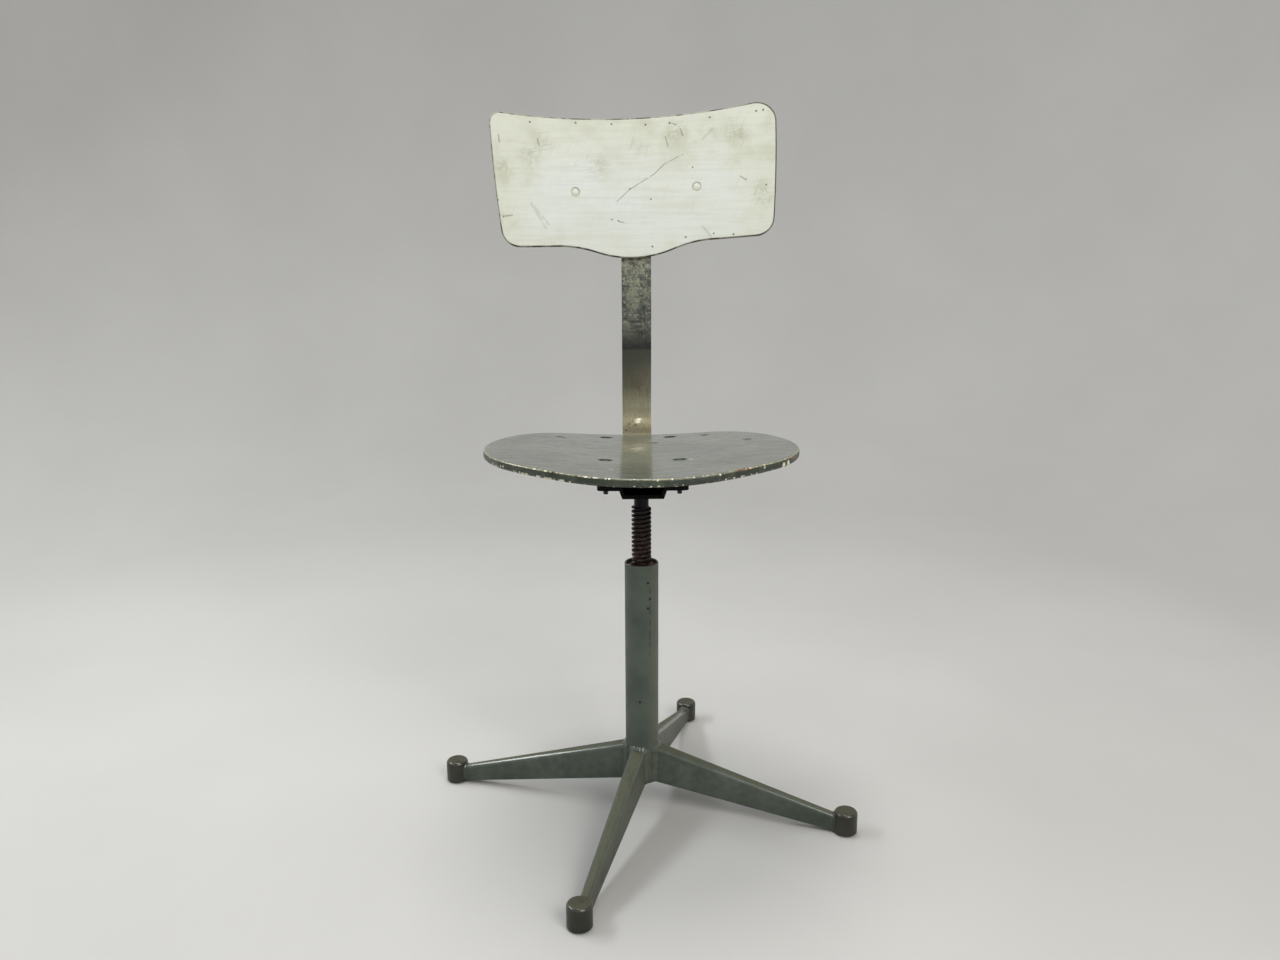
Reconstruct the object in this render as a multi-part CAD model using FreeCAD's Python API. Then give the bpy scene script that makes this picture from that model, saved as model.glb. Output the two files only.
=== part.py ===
import FreeCAD, Part
import math
import os
from FreeCAD import Placement, Rotation, Vector

# Swivel work chair with a screw spindle, a bent plywood seat and a backrest on a sprung steel strip.
# Millimetres. +Z is up, the origin is on the floor under the swivel axis, and the sitter faces -Y.

# Base column
COLUMN_DIAMETER = 38.0
COLUMN_WALL = 2.0
COLUMN_BOTTOM = 37.0
COLUMN_LENGTH = 263.6
COLUMN_RIM_CHAMFER = 0.5

# Legs, pressed as inverted channels that taper from the column to the feet
LEG_NAMES = ("front", "right", "rear", "left")
FIRST_LEG_ANGLE = -106.6
FOOT_CIRCLE_RADIUS = 237.0
LEG_HUB_WIDTH = 17.5
LEG_HUB_HEIGHT = 43.0
LEG_TIP_WIDTH = 11.0
LEG_TIP_HEIGHT = 19.0
LEG_TIP_CLEARANCE = 3.0
LEG_WALL = 2.5
LEG_EDGE_RADIUS = 4.6
WELD_GAP = 0.05

# Feet and glides
FOOT_DIAMETER = 26.0
FOOT_TOP = 27.2
FOOT_TOP_RADIUS = 3.5
FOOT_LOWER_CHAMFER = 0.6
GLIDE_DIAMETER = 20.0
GLIDE_RECESS = 4.0
GLIDE_PROUD = 1.5
GLIDE_EDGE_RADIUS = 0.8
GLIDE_CLEARANCE = 0.05

# Trapezoidal screw thread of the spindle
THREAD_DIAMETER = 22.0
THREAD_PITCH = 5.0
THREAD_DEPTH = 2.75
THREAD_CREST_WIDTH = 1.83
THREAD_FLANK_ANGLE = 15.0
THREAD_CLEARANCE = 0.3
THREAD_LENGTH = 210.0

# Nut in the column
NUT_HEIGHT = 30.0
NUT_RECESS = 2.5
NUT_CLEARANCE = 0.05

# Spindle ends and the guide bush that keeps its foot central in the column
REST_LIFT = 89.0
NECK_DIAMETER = 16.3
NECK_LENGTH = 25.4
TENON_DIAMETER = 12.0
TENON_CLEARANCE = 0.05
TENON_HEAD_DIAMETER = 16.0
TENON_HEAD_HEIGHT = 2.0
JOURNAL_DIAMETER = 14.0
BUSH_HEIGHT = 20.0
BUSH_SLIDE_CLEARANCE = 0.05
BUSH_BORE_CLEARANCE = 0.05
BUSH_END_PLAY = 0.1
BUSH_CHAMFER = 1.0
STOP_WASHER_DIAMETER = 30.0
STOP_WASHER_THICKNESS = 3.0
STOP_BOLT_DIAMETER = 8.0
STOP_BOLT_GRIP = 16.0
STOP_BOLT_HEAD_ACROSS = 13.0
STOP_BOLT_HEAD_HEIGHT = 5.3
BOLT_HOLE_CLEARANCE = 0.25

# Seat bracket, a hat section that runs from front to back
BRACKET_SHEET = 4.0
BRACKET_FRONT = -68.0
BRACKET_LENGTH = 216.0
BRACKET_WIDTH = 96.0
HAT_DEPTH = 8.8
HAT_BOTTOM_WIDTH = 43.5
HAT_WALL_LEAN = 3.2
BRACKET_CORNER_RADIUS = 6.0

# Plywood seat: a soft square in plan, hollowed across its width and sloped down to the rear
SEAT_HALF_WIDTH = 171.0
SEAT_SIDE_FLATNESS = 44.0
SEAT_CORNER_BULGE = 7.2
SEAT_THICKNESS = 8.5
SEAT_SIDE_RISE = 9.7
SEAT_SLOPE = 3.24
SEAT_EDGE_RADIUS = 2.2

# Packing strips that bed the hollow seat on the flat bracket flanges
PACKING_HEIGHT = 13.4
PACKING_EDGE_INSET = 1.5
PACKING_BED_GAP = 0.05

# Seat bolts
SEAT_BOLT_DIAMETER = 5.0
SEAT_BOLT_SPACING = 78.0
SEAT_BOLT_FRONT = -53.0
SEAT_BOLT_REAR = 136.0
SEAT_BOLT_HEAD_DIAMETER = 12.0
SEAT_BOLT_HEAD_HEIGHT = 2.2
SEAT_BOLT_HEAD_DEPTH = 1.9
SEAT_BOLT_HEAD_CLEARANCE = 0.35
SEAT_BOLT_TAIL = 6.4
SEAT_BOLT_FIT = 0.05
M5_NUT_ACROSS = 8.0
M5_NUT_HEIGHT = 4.0
M5_WASHER_DIAMETER = 10.0
M5_WASHER_THICKNESS = 1.0

# Back strip
STRIP_WIDTH = 36.5
STRIP_THICKNESS = 4.0
STRIP_FRONT_END = 26.0
STRIP_BEND_RADIUS = 45.0
STRIP_SEAT_CLEARANCE = 3.0
STRIP_FORWARD_LEAN = 4.0
STRIP_LOWER_STRAIGHT = 88.0
STRIP_UPPER_RADIUS = 520.0
STRIP_BACK_LEAN = 8.0
STRIP_UPPER_STRAIGHT = 93.6
STRIP_CORNER_RADIUS = 5.0

# Bolts that hold the strip in the bracket
STRIP_BOLT_DIAMETER = 6.0
STRIP_BOLT_FIRST = 60.0
STRIP_BOLT_PITCH = 55.0
STRIP_BOLT_COUNT = 2
STRIP_BOLT_TAIL = 1.8
M6_HEAD_ACROSS = 10.0
M6_HEAD_HEIGHT = 4.0
M6_NUT_HEIGHT = 5.0
M6_WASHER_DIAMETER = 12.0
M6_WASHER_THICKNESS = 1.6

# Backrest, set slightly out of level on the strip
BACKREST_RADIUS = 500.0
BACKREST_THICKNESS = 8.0
BACKREST_ROLL = 2.5
BACKREST_BELOW_STRIP_END = 24.5
BACKREST_TOP_HALF_WIDTH = 169.8
BACKREST_BOTTOM_HALF_WIDTH = 161.2
BACKREST_SIDE_BULGE = 2.2
BACKREST_TOP_CORNER = 94.7
BACKREST_TOP_DIP = 9.2
BACKREST_BOTTOM_CORNER = -63.9
BACKREST_TONGUE_DROP = 16.9
BACKREST_TONGUE_OFFSET = -4.4
BACKREST_TONGUE_HALF_WIDTH = 95.0
BACKREST_TOP_LEFT_RADIUS = 12.0
BACKREST_TOP_RIGHT_RADIUS = 24.0
BACKREST_BOTTOM_RADIUS = 21.0
BACKREST_EDGE_RADIUS = 1.8

# Cross bar behind the backrest and its fasteners
CROSSBAR_LENGTH = 186.0
CROSSBAR_HEIGHT = 30.0
CROSSBAR_THICKNESS = 4.0
CROSSBAR_BED_GAP = 0.05
CROSSBAR_END_RADIUS = 8.0
RIVET_DIAMETER = 6.0
RIVET_PITCH = 16.0
RIVET_HEAD_DIAMETER = 10.5
RIVET_HEAD_HEIGHT = 2.6
RIVET_SINK_DIAMETER = 9.0
RIVET_SINK_DEPTH = 1.5
RIVET_CLEARANCE = 0.05
BACK_BOLT_SPACING = 149.0
BACK_BOLT_DIAMETER = 5.0
BACK_BOLT_HEAD_DIAMETER = 10.6
BACK_BOLT_HEAD_HEIGHT = 1.5
BACK_BOLT_HEAD_DEPTH = 1.3
BACK_BOLT_HEAD_CLEARANCE = 0.3
BACK_BOLT_TAIL = 1.6

# Sizes that follow from those above
COLUMN_RADIUS = COLUMN_DIAMETER / 2
COLUMN_BORE = COLUMN_DIAMETER - 2 * COLUMN_WALL
COLUMN_TOP = COLUMN_BOTTOM + COLUMN_LENGTH
FOOT_RADIUS = FOOT_DIAMETER / 2
THREAD_CORE = THREAD_DIAMETER - 2 * THREAD_DEPTH
NUT_TOP = COLUMN_TOP - NUT_RECESS
HAT_BOTTOM = COLUMN_TOP + REST_LIFT
HAT_FLOOR = HAT_BOTTOM + BRACKET_SHEET
FLANGE_BOTTOM = HAT_BOTTOM + HAT_DEPTH
FLANGE_TOP = FLANGE_BOTTOM + BRACKET_SHEET
THREAD_TOP = HAT_BOTTOM - NECK_LENGTH
THREAD_BOTTOM = THREAD_TOP - THREAD_LENGTH
BUSH_TOP = THREAD_BOTTOM - BUSH_END_PLAY
JOURNAL_BOTTOM = BUSH_TOP - BUSH_HEIGHT - BUSH_END_PLAY
SEAT_TOP = FLANGE_TOP + PACKING_HEIGHT + SEAT_THICKNESS
STRIP_TOP_FACE = HAT_FLOOR + STRIP_THICKNESS
CROSSBAR_BACK_RADIUS = BACKREST_RADIUS + BACKREST_THICKNESS + CROSSBAR_BED_GAP + CROSSBAR_THICKNESS

# Distances below which two places count as the same
SAME_PLACE = 1e-6
SAME_CURVE = 1e-4

X_AXIS = Vector(1, 0, 0)
Y_AXIS = Vector(0, 1, 0)
Z_AXIS = Vector(0, 0, 1)


def cylinder(diameter, bottom, top, x=0.0, y=0.0):
    return Part.makeCylinder(diameter / 2, top - bottom, Vector(x, y, bottom))


def box(low, high):
    size = high - low
    return Part.makeBox(size.x, size.y, size.z, low)


def wire_face(edges):
    return Part.Face(Part.Wire(Part.__sortEdges__(edges)))


def line(start, end):
    return Part.LineSegment(start, end).toShape()


def arc(start, middle, end):
    return Part.Arc(start, middle, end).toShape()


def hex_prism(across, bottom, top, x=0.0, y=0.0):
    reach = across / math.sqrt(3)
    corners = []
    for corner in range(7):
        turn = math.radians(60 * corner)
        corners.append(Vector(x + reach * math.cos(turn), y + reach * math.sin(turn), bottom))
    return Part.Face(Part.makePolygon(corners)).extrude(Vector(0, 0, top - bottom))


def dome(diameter, height, base, x=0.0, y=0.0):
    """Low round head: a slice of a ball, flat side down on the level of base."""
    radius = (diameter ** 2 / 4 + height ** 2) / (2 * height)
    ball = Part.makeSphere(radius, Vector(x, y, base + height - radius))
    return ball.common(cylinder(diameter + radius, base, base + height, x, y))


def ring(outer, inner, bottom, top, x=0.0, y=0.0):
    return cylinder(outer, bottom, top, x, y).cut(cylinder(inner, bottom, top, x, y))


def hex_nut(across, bore, bottom, top, x=0.0, y=0.0):
    return hex_prism(across, bottom, top, x, y).cut(cylinder(bore, bottom, top, x, y))


def edges_at(shape, test):
    return [edge for edge in shape.Edges if test(edge)]


def edge_on_level(level):
    def on_level(edge):
        ends_on_level = all(abs(v.Z - level) < SAME_PLACE for v in edge.Vertexes)
        return ends_on_level and abs(edge.CenterOfMass.z - level) < SAME_PLACE

    return on_level


def upright_edge(edge):
    if len(edge.Vertexes) != 2:
        return False
    run = edge.Vertexes[1].Point - edge.Vertexes[0].Point
    return abs(run.x) + abs(run.y) < SAME_PLACE


def make_column():
    tube = ring(COLUMN_DIAMETER, COLUMN_BORE, COLUMN_BOTTOM, COLUMN_TOP)
    return tube.makeChamfer(COLUMN_RIM_CHAMFER, edges_at(tube, edge_on_level(COLUMN_TOP)))


def leg_section(reach, width, bottom, top):
    corners = [Vector(reach, -width / 2, bottom), Vector(reach, width / 2, bottom),
               Vector(reach, width / 2, top), Vector(reach, -width / 2, top)]
    return Part.makePolygon(corners + corners[:1])


def taper(hub_value, tip_value, reach):
    """Value of a leg size at a distance from the axis, along its straight taper."""
    share = (reach - COLUMN_RADIUS) / (FOOT_CIRCLE_RADIUS - FOOT_RADIUS - COLUMN_RADIUS)
    return hub_value + (tip_value - hub_value) * share


def make_leg(angle):
    inner_reach = COLUMN_RADIUS / 2
    outer_reach = FOOT_CIRCLE_RADIUS - FOOT_RADIUS / 2
    outer_sections = []
    hollow_sections = []
    for reach in (inner_reach, outer_reach):
        width = taper(LEG_HUB_WIDTH, LEG_TIP_WIDTH, reach)
        bottom = taper(COLUMN_BOTTOM, LEG_TIP_CLEARANCE, reach)
        top = taper(COLUMN_BOTTOM + LEG_HUB_HEIGHT, LEG_TIP_CLEARANCE + LEG_TIP_HEIGHT, reach)
        outer_sections.append(leg_section(reach, width, bottom, top))
        hollow_sections.append(leg_section(reach, width - 2 * LEG_WALL, bottom - LEG_WALL, top - LEG_WALL))
    leg = Part.makeLoft(outer_sections, True, True)
    middle_level = leg.CenterOfMass.z

    def upper_long_edge(edge):
        ends = [v.Point for v in edge.Vertexes]
        long_run = abs(ends[0].x - ends[1].x) > COLUMN_DIAMETER
        return long_run and edge.CenterOfMass.z > middle_level

    leg = leg.makeFillet(LEG_EDGE_RADIUS, edges_at(leg, upper_long_edge))
    leg = leg.cut(Part.makeLoft(hollow_sections, True, True))
    height = COLUMN_TOP
    leg = leg.cut(cylinder(COLUMN_DIAMETER + 2 * WELD_GAP, -height, height))
    leg = leg.cut(cylinder(FOOT_DIAMETER + 2 * WELD_GAP, -height, height, FOOT_CIRCLE_RADIUS))
    leg.rotate(Vector(), Z_AXIS, angle)
    return leg


def foot_centre(angle):
    turn = math.radians(angle)
    return FOOT_CIRCLE_RADIUS * math.cos(turn), FOOT_CIRCLE_RADIUS * math.sin(turn)


def make_foot(angle):
    x, y = foot_centre(angle)
    foot = cylinder(FOOT_DIAMETER, GLIDE_PROUD, FOOT_TOP, x, y)
    foot = foot.makeFillet(FOOT_TOP_RADIUS, edges_at(foot, edge_on_level(FOOT_TOP)))
    foot = foot.makeChamfer(FOOT_LOWER_CHAMFER, edges_at(foot, edge_on_level(GLIDE_PROUD)))
    recess = GLIDE_DIAMETER + 2 * GLIDE_CLEARANCE
    return foot.cut(cylinder(recess, GLIDE_PROUD, GLIDE_PROUD + GLIDE_RECESS, x, y))


def make_glide(angle):
    x, y = foot_centre(angle)
    glide = cylinder(GLIDE_DIAMETER, 0, GLIDE_PROUD + GLIDE_RECESS, x, y)
    return glide.makeFillet(GLIDE_EDGE_RADIUS, edges_at(glide, edge_on_level(0)))


def helical_bar(inner_radius, outer_radius, inner_width, outer_width, centre_level, length):
    """Bar of trapezoid section wound on the thread's helix, from centre_level past both ends of the length.

    The helix is laid in half turns, which are copied up the axis and sewn together.
    """
    corners = [Vector(inner_radius, 0, -inner_width / 2), Vector(outer_radius, 0, -outer_width / 2),
               Vector(outer_radius, 0, outer_width / 2), Vector(inner_radius, 0, inner_width / 2)]
    section = Part.makePolygon(corners + corners[:1])
    half_pitch = THREAD_PITCH / 2
    half_turn = Part.Wire(Part.makeHelix(THREAD_PITCH, half_pitch, inner_radius).Edges)
    flanks = half_turn.makePipeShell([section], False, True).Faces
    half_turns = 2 * (math.ceil(length / THREAD_PITCH) + 2)
    start = centre_level - THREAD_PITCH
    faces = []
    for place in range(half_turns):
        for flank in flanks:
            face = flank.copy()
            face.rotate(Vector(), Z_AXIS, 180 * place)
            face.translate(Vector(0, 0, start + half_pitch * place))
            faces.append(face)
    for level in (start, start + half_pitch * half_turns):
        end_cap = Part.Face(section)
        end_cap.translate(Vector(0, 0, level))
        faces.append(end_cap)
    shell = Part.makeShell(faces)
    shell.sewShape()
    bar = Part.makeSolid(shell.Shells[0])
    if bar.Volume < 0:
        bar.reverse()
    return bar


def ridge_width(radius):
    """Axial width of the spindle's thread ridge at a radius."""
    depth = THREAD_DIAMETER / 2 - radius
    return THREAD_CREST_WIDTH + 2 * depth * math.tan(math.radians(THREAD_FLANK_ANGLE))


def make_spindle():
    core_radius = THREAD_CORE / 2
    beyond = THREAD_DIAMETER / 2 + THREAD_CLEARANCE
    groove = helical_bar(core_radius, beyond, THREAD_PITCH - ridge_width(core_radius),
                         THREAD_PITCH - ridge_width(beyond), THREAD_BOTTOM, THREAD_LENGTH)
    spindle = cylinder(THREAD_DIAMETER, THREAD_BOTTOM, THREAD_TOP).cut(groove)
    hole_depth = STOP_BOLT_GRIP + STOP_BOLT_DIAMETER / 2
    journal = cylinder(JOURNAL_DIAMETER, JOURNAL_BOTTOM, THREAD_BOTTOM)
    journal = journal.cut(cylinder(STOP_BOLT_DIAMETER, JOURNAL_BOTTOM, JOURNAL_BOTTOM + hole_depth))
    neck = cylinder(NECK_DIAMETER, THREAD_TOP, HAT_BOTTOM)
    tenon = cylinder(TENON_DIAMETER, HAT_BOTTOM, HAT_FLOOR)
    head = dome(TENON_HEAD_DIAMETER, TENON_HEAD_HEIGHT, HAT_FLOOR)
    return spindle.multiFuse([journal, neck, tenon, head])


def make_spindle_nut():
    bore = THREAD_CORE + 2 * THREAD_CLEARANCE
    nut = ring(COLUMN_BORE - 2 * NUT_CLEARANCE, bore, NUT_TOP - NUT_HEIGHT, NUT_TOP)
    inner = THREAD_CORE / 2
    outer = THREAD_DIAMETER / 2 + THREAD_CLEARANCE
    turns_up = math.floor((NUT_TOP - NUT_HEIGHT - THREAD_BOTTOM) / THREAD_PITCH)
    ridge_level = THREAD_BOTTOM + THREAD_PITCH * (turns_up + 0.5)
    room = 2 * THREAD_CLEARANCE
    ridge = helical_bar(inner, outer, ridge_width(inner) + room, ridge_width(outer) + room,
                        ridge_level, NUT_HEIGHT)
    return nut.cut(ridge)


def make_guide_bush():
    bush = ring(COLUMN_BORE - 2 * BUSH_SLIDE_CLEARANCE, JOURNAL_DIAMETER + 2 * BUSH_BORE_CLEARANCE,
                BUSH_TOP - BUSH_HEIGHT, BUSH_TOP)

    def outer_rim(edge):
        is_ring = len(edge.Vertexes) == 1
        return is_ring and edge.BoundBox.XLength > COLUMN_RADIUS

    return bush.makeChamfer(BUSH_CHAMFER, edges_at(bush, outer_rim))


def make_stop_washer():
    hole = STOP_BOLT_DIAMETER + 2 * BOLT_HOLE_CLEARANCE
    return ring(STOP_WASHER_DIAMETER, hole, JOURNAL_BOTTOM - STOP_WASHER_THICKNESS, JOURNAL_BOTTOM)


def make_stop_bolt():
    seat_level = JOURNAL_BOTTOM - STOP_WASHER_THICKNESS
    shank = cylinder(STOP_BOLT_DIAMETER - 2 * TENON_CLEARANCE, seat_level, JOURNAL_BOTTOM + STOP_BOLT_GRIP)
    return shank.fuse(hex_prism(STOP_BOLT_HEAD_ACROSS, seat_level - STOP_BOLT_HEAD_HEIGHT, seat_level))


def bracket_outline():
    """Half section of the hat from its middle to the flange edge, underside first and then back."""
    wall_foot = HAT_BOTTOM_WIDTH / 2
    wall_head = wall_foot + HAT_WALL_LEAN
    wall_length = math.hypot(HAT_DEPTH, HAT_WALL_LEAN)
    sheet_across = BRACKET_SHEET * wall_length / HAT_DEPTH
    lean = HAT_WALL_LEAN / HAT_DEPTH * BRACKET_SHEET
    return [(wall_foot, HAT_BOTTOM), (wall_head, FLANGE_BOTTOM), (BRACKET_WIDTH / 2, FLANGE_BOTTOM),
            (BRACKET_WIDTH / 2, FLANGE_TOP), (wall_head + lean - sheet_across, FLANGE_TOP),
            (wall_foot + lean - sheet_across, HAT_FLOOR)]


def flange_inner_edge():
    return bracket_outline()[1][0]


def seat_bolt_places():
    half = SEAT_BOLT_SPACING / 2
    return [(x, y) for y in (SEAT_BOLT_FRONT, SEAT_BOLT_REAR) for x in (-half, half)]


def strip_bolt_places():
    return [STRIP_BOLT_FIRST + STRIP_BOLT_PITCH * place for place in range(STRIP_BOLT_COUNT)]


def make_bracket():
    right = bracket_outline()
    left = [(-x, z) for x, z in reversed(right)]
    corners = [Vector(x, BRACKET_FRONT, z) for x, z in right + left]
    face = Part.Face(Part.makePolygon(corners + corners[:1]))
    bracket = face.extrude(Vector(0, BRACKET_LENGTH, 0))

    def flange_corner(edge):
        return upright_edge(edge) and abs(abs(edge.CenterOfMass.x) - BRACKET_WIDTH / 2) < SAME_PLACE

    bracket = bracket.makeFillet(BRACKET_CORNER_RADIUS, edges_at(bracket, flange_corner))
    cuts = [cylinder(TENON_DIAMETER + 2 * TENON_CLEARANCE, HAT_BOTTOM, HAT_FLOOR)]
    for x, y in seat_bolt_places():
        cuts.append(cylinder(SEAT_BOLT_DIAMETER + 2 * SEAT_BOLT_FIT, FLANGE_BOTTOM, FLANGE_TOP, x, y))
    for y in strip_bolt_places():
        cuts.append(cylinder(STRIP_BOLT_DIAMETER + 2 * BOLT_HOLE_CLEARANCE, HAT_BOTTOM, HAT_FLOOR, 0, y))
    return bracket.cut(cuts)


def seat_section(lift, depth):
    """Section across the seat in the XZ plane, from its upper face raised by lift down by depth."""
    half = SEAT_HALF_WIDTH
    rise = SEAT_SIDE_RISE
    radius = (half ** 2 + rise ** 2) / (4 * rise)
    turn = math.asin(half / 2 / radius)
    margin = SEAT_THICKNESS

    def hollow_point(offset, share):
        reach = radius - offset
        return Vector(reach * math.sin(share * turn), 0, radius - reach * math.cos(share * turn))

    def shoulder_point(side, offset, share):
        reach = radius + offset
        return Vector(side * (half - reach * math.sin(share * turn)), 0,
                      rise - radius + reach * math.cos(share * turn))

    def face_edges(offset):
        edges = [arc(hollow_point(offset, -1), hollow_point(offset, 0), hollow_point(offset, 1))]
        for side in (-1, 1):
            edges.append(arc(shoulder_point(side, offset, 1), shoulder_point(side, offset, 0.5),
                             shoulder_point(side, offset, 0)))
            outer_end = Vector(side * (half + margin), 0, rise + offset)
            edges.append(line(shoulder_point(side, offset, 0), outer_end))
        return edges

    edges = face_edges(lift) + face_edges(lift - depth)
    for side in (-1, 1):
        edge_x = side * (half + margin)
        edges.append(line(Vector(edge_x, 0, rise + lift), Vector(edge_x, 0, rise + lift - depth)))
    return wire_face(edges)


def seat_slab(lift, depth):
    """Level slab with the seat's hollow, long enough to cover the whole seat."""
    length = 2 * (SEAT_HALF_WIDTH + SEAT_THICKNESS)
    slab = seat_section(lift, depth).extrude(Vector(0, length, 0))
    slab.translate(Vector(0, -length / 2, 0))
    return slab


def seat_plan():
    """Plan outline of four wide side arcs and four tighter corner arcs, all tangent."""
    flat = SEAT_SIDE_FLATNESS
    bulge = SEAT_CORNER_BULGE
    corner_centre = (2 * flat * bulge - bulge ** 2) / (2 * (math.sqrt(2) * (flat - bulge) - flat))
    side_radius = SEAT_HALF_WIDTH + flat
    run = math.hypot(corner_centre + flat, corner_centre)
    joint = (side_radius * (corner_centre + flat) / run - flat, side_radius * corner_centre / run)
    diagonal = (SEAT_HALF_WIDTH + bulge) / math.sqrt(2)
    level = -SEAT_HALF_WIDTH
    edges = []
    for quarter in range(4):
        spin = Rotation(Z_AXIS, 90 * quarter)
        side = [Vector(joint[0], -joint[1], level), Vector(SEAT_HALF_WIDTH, 0, level),
                Vector(joint[0], joint[1], level)]
        corner = [Vector(joint[0], joint[1], level), Vector(diagonal, diagonal, level),
                  Vector(joint[1], joint[0], level)]
        for points in (side, corner):
            edges.append(arc(*[spin.multVec(point) for point in points]))
    return wire_face(edges)


def place_on_slope(shape):
    """Tilt a seat-level shape down to the rear about the axis and lift it to the seat's height."""
    slope = Placement(Vector(0, 0, SEAT_TOP), Rotation(X_AXIS, -SEAT_SLOPE))
    shape.Placement = slope.multiply(shape.Placement)
    return shape


def seat_surface_level(x, y):
    """Height of the seat's upper face above a point of the bracket."""
    probe = Part.LineSegment(Vector(x, y, FLANGE_TOP), Vector(x, y, FLANGE_TOP + SEAT_HALF_WIDTH)).toShape()
    inside = place_on_slope(seat_slab(0, SEAT_THICKNESS)).common(probe)
    return inside.BoundBox.ZMax


def seat_bolt_head_level(x, y):
    return seat_surface_level(x, y) - SEAT_BOLT_HEAD_DEPTH


def make_seat():
    prism = seat_plan().extrude(Vector(0, 0, 2 * SEAT_HALF_WIDTH))
    seat = seat_slab(0, SEAT_THICKNESS).common(prism)

    def rim_edge(edge):
        if upright_edge(edge):
            return False
        along_seat = edge.BoundBox.XLength < SAME_CURVE
        return not along_seat

    seat = seat.makeFillet(SEAT_EDGE_RADIUS, edges_at(seat, rim_edge))
    seat = place_on_slope(seat)
    cuts = []
    for x, y in seat_bolt_places():
        head_level = seat_bolt_head_level(x, y)
        cuts.append(cylinder(SEAT_BOLT_DIAMETER + 2 * BOLT_HOLE_CLEARANCE, FLANGE_TOP, head_level, x, y))
        pocket = SEAT_BOLT_HEAD_DIAMETER + 2 * SEAT_BOLT_HEAD_CLEARANCE
        cuts.append(cylinder(pocket, head_level, head_level + SEAT_THICKNESS, x, y))
    return seat.cut(cuts)


def make_packing(side):
    inner = flange_inner_edge() + PACKING_EDGE_INSET
    outer = BRACKET_WIDTH / 2 - PACKING_EDGE_INSET
    low_x, high_x = sorted((side * inner, side * outer))
    front = BRACKET_FRONT + PACKING_EDGE_INSET
    rear = BRACKET_FRONT + BRACKET_LENGTH - PACKING_EDGE_INSET
    block = box(Vector(low_x, front, FLANGE_TOP), Vector(high_x, rear, SEAT_TOP + SEAT_SIDE_RISE))
    bed_depth = SEAT_THICKNESS + PACKING_BED_GAP
    above_bed = seat_slab(SEAT_HALF_WIDTH, SEAT_HALF_WIDTH + bed_depth)
    packing = block.cut(place_on_slope(above_bed))
    cuts = []
    for x, y in seat_bolt_places():
        cuts.append(cylinder(SEAT_BOLT_DIAMETER + 2 * BOLT_HOLE_CLEARANCE, FLANGE_TOP, SEAT_TOP, x, y))
    return packing.cut(cuts)


def make_seat_bolts():
    tail = FLANGE_BOTTOM - SEAT_BOLT_TAIL
    bolts = []
    for x, y in seat_bolt_places():
        head_level = seat_bolt_head_level(x, y)
        shank = cylinder(SEAT_BOLT_DIAMETER, tail, head_level, x, y)
        head = dome(SEAT_BOLT_HEAD_DIAMETER, SEAT_BOLT_HEAD_HEIGHT, head_level, x, y)
        bolts.append(shank.fuse(head))
    return Part.makeCompound(bolts)


def strip_bend_start():
    """Y at which the strip starts to bend upwards, clear of the seat's lower rear edge."""
    slope = math.radians(SEAT_SLOPE)
    edge_y = SEAT_HALF_WIDTH * math.cos(slope) - SEAT_THICKNESS * math.sin(slope)
    edge_z = SEAT_TOP - SEAT_HALF_WIDTH * math.sin(slope) - SEAT_THICKNESS * math.cos(slope)
    bend_centre_z = STRIP_TOP_FACE + STRIP_BEND_RADIUS
    clear_radius = STRIP_BEND_RADIUS - STRIP_SEAT_CLEARANCE
    return edge_y - math.sqrt(clear_radius ** 2 - (bend_centre_z - edge_z) ** 2)


def strip_runs():
    """Runs of the strip from its front end: lengths of the straights, radius and turn of the bends."""
    return [("straight", strip_bend_start() - STRIP_FRONT_END),
            ("bend", STRIP_BEND_RADIUS, 90 + STRIP_FORWARD_LEAN),
            ("straight", STRIP_LOWER_STRAIGHT),
            ("bend", STRIP_UPPER_RADIUS, -(STRIP_FORWARD_LEAN + STRIP_BACK_LEAN)),
            ("straight", STRIP_UPPER_STRAIGHT)]


def trace_strip(depth):
    """Edges along the strip at a depth behind its front face, and the end point and heading."""
    heading = 0.0
    point = Vector(0, STRIP_FRONT_END, STRIP_TOP_FACE - depth)
    edges = []
    for run in strip_runs():
        forward = Vector(0, math.cos(math.radians(heading)), math.sin(math.radians(heading)))
        if run[0] == "straight":
            end = point + forward * run[1]
            edges.append(line(point, end))
        else:
            side = math.copysign(1, run[2])
            centre = point + Vector(0, -forward.z, forward.y) * side * (run[1] + side * depth)
            half_turn = Rotation(X_AXIS, run[2] / 2)
            middle = centre + half_turn.multVec(point - centre)
            end = centre + half_turn.multVec(middle - centre)
            edges.append(arc(point, middle, end))
            heading += run[2]
        point = end
    return edges, point, heading


def back_place():
    """Placement of the backrest group: origin on the strip's front face, Z up along the strip."""
    end, heading = trace_strip(0)[1:]
    along = Vector(0, math.cos(math.radians(heading)), math.sin(math.radians(heading)))
    origin = end - along * BACKREST_BELOW_STRIP_END
    lean = Rotation(X_AXIS, heading - 90)
    return Placement(origin, lean.multiply(Rotation(Y_AXIS, -BACKREST_ROLL)))


def place_on_back(shape):
    shape.Placement = back_place().multiply(shape.Placement)
    return shape


def rivet_levels():
    return (-RIVET_PITCH / 2, RIVET_PITCH / 2)


def backward(shape, x=0.0, z=0.0, y=0.0):
    """Turn a piece drawn along +Z so that it points backwards along +Y, and set it in place."""
    shape.Placement = Placement(Vector(x, y, z), Rotation(X_AXIS, -90)).multiply(shape.Placement)
    return shape


def rivet_holes(diameter):
    length = CROSSBAR_THICKNESS + STRIP_THICKNESS
    return [backward(cylinder(diameter, -length, length), 0, level) for level in rivet_levels()]


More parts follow.
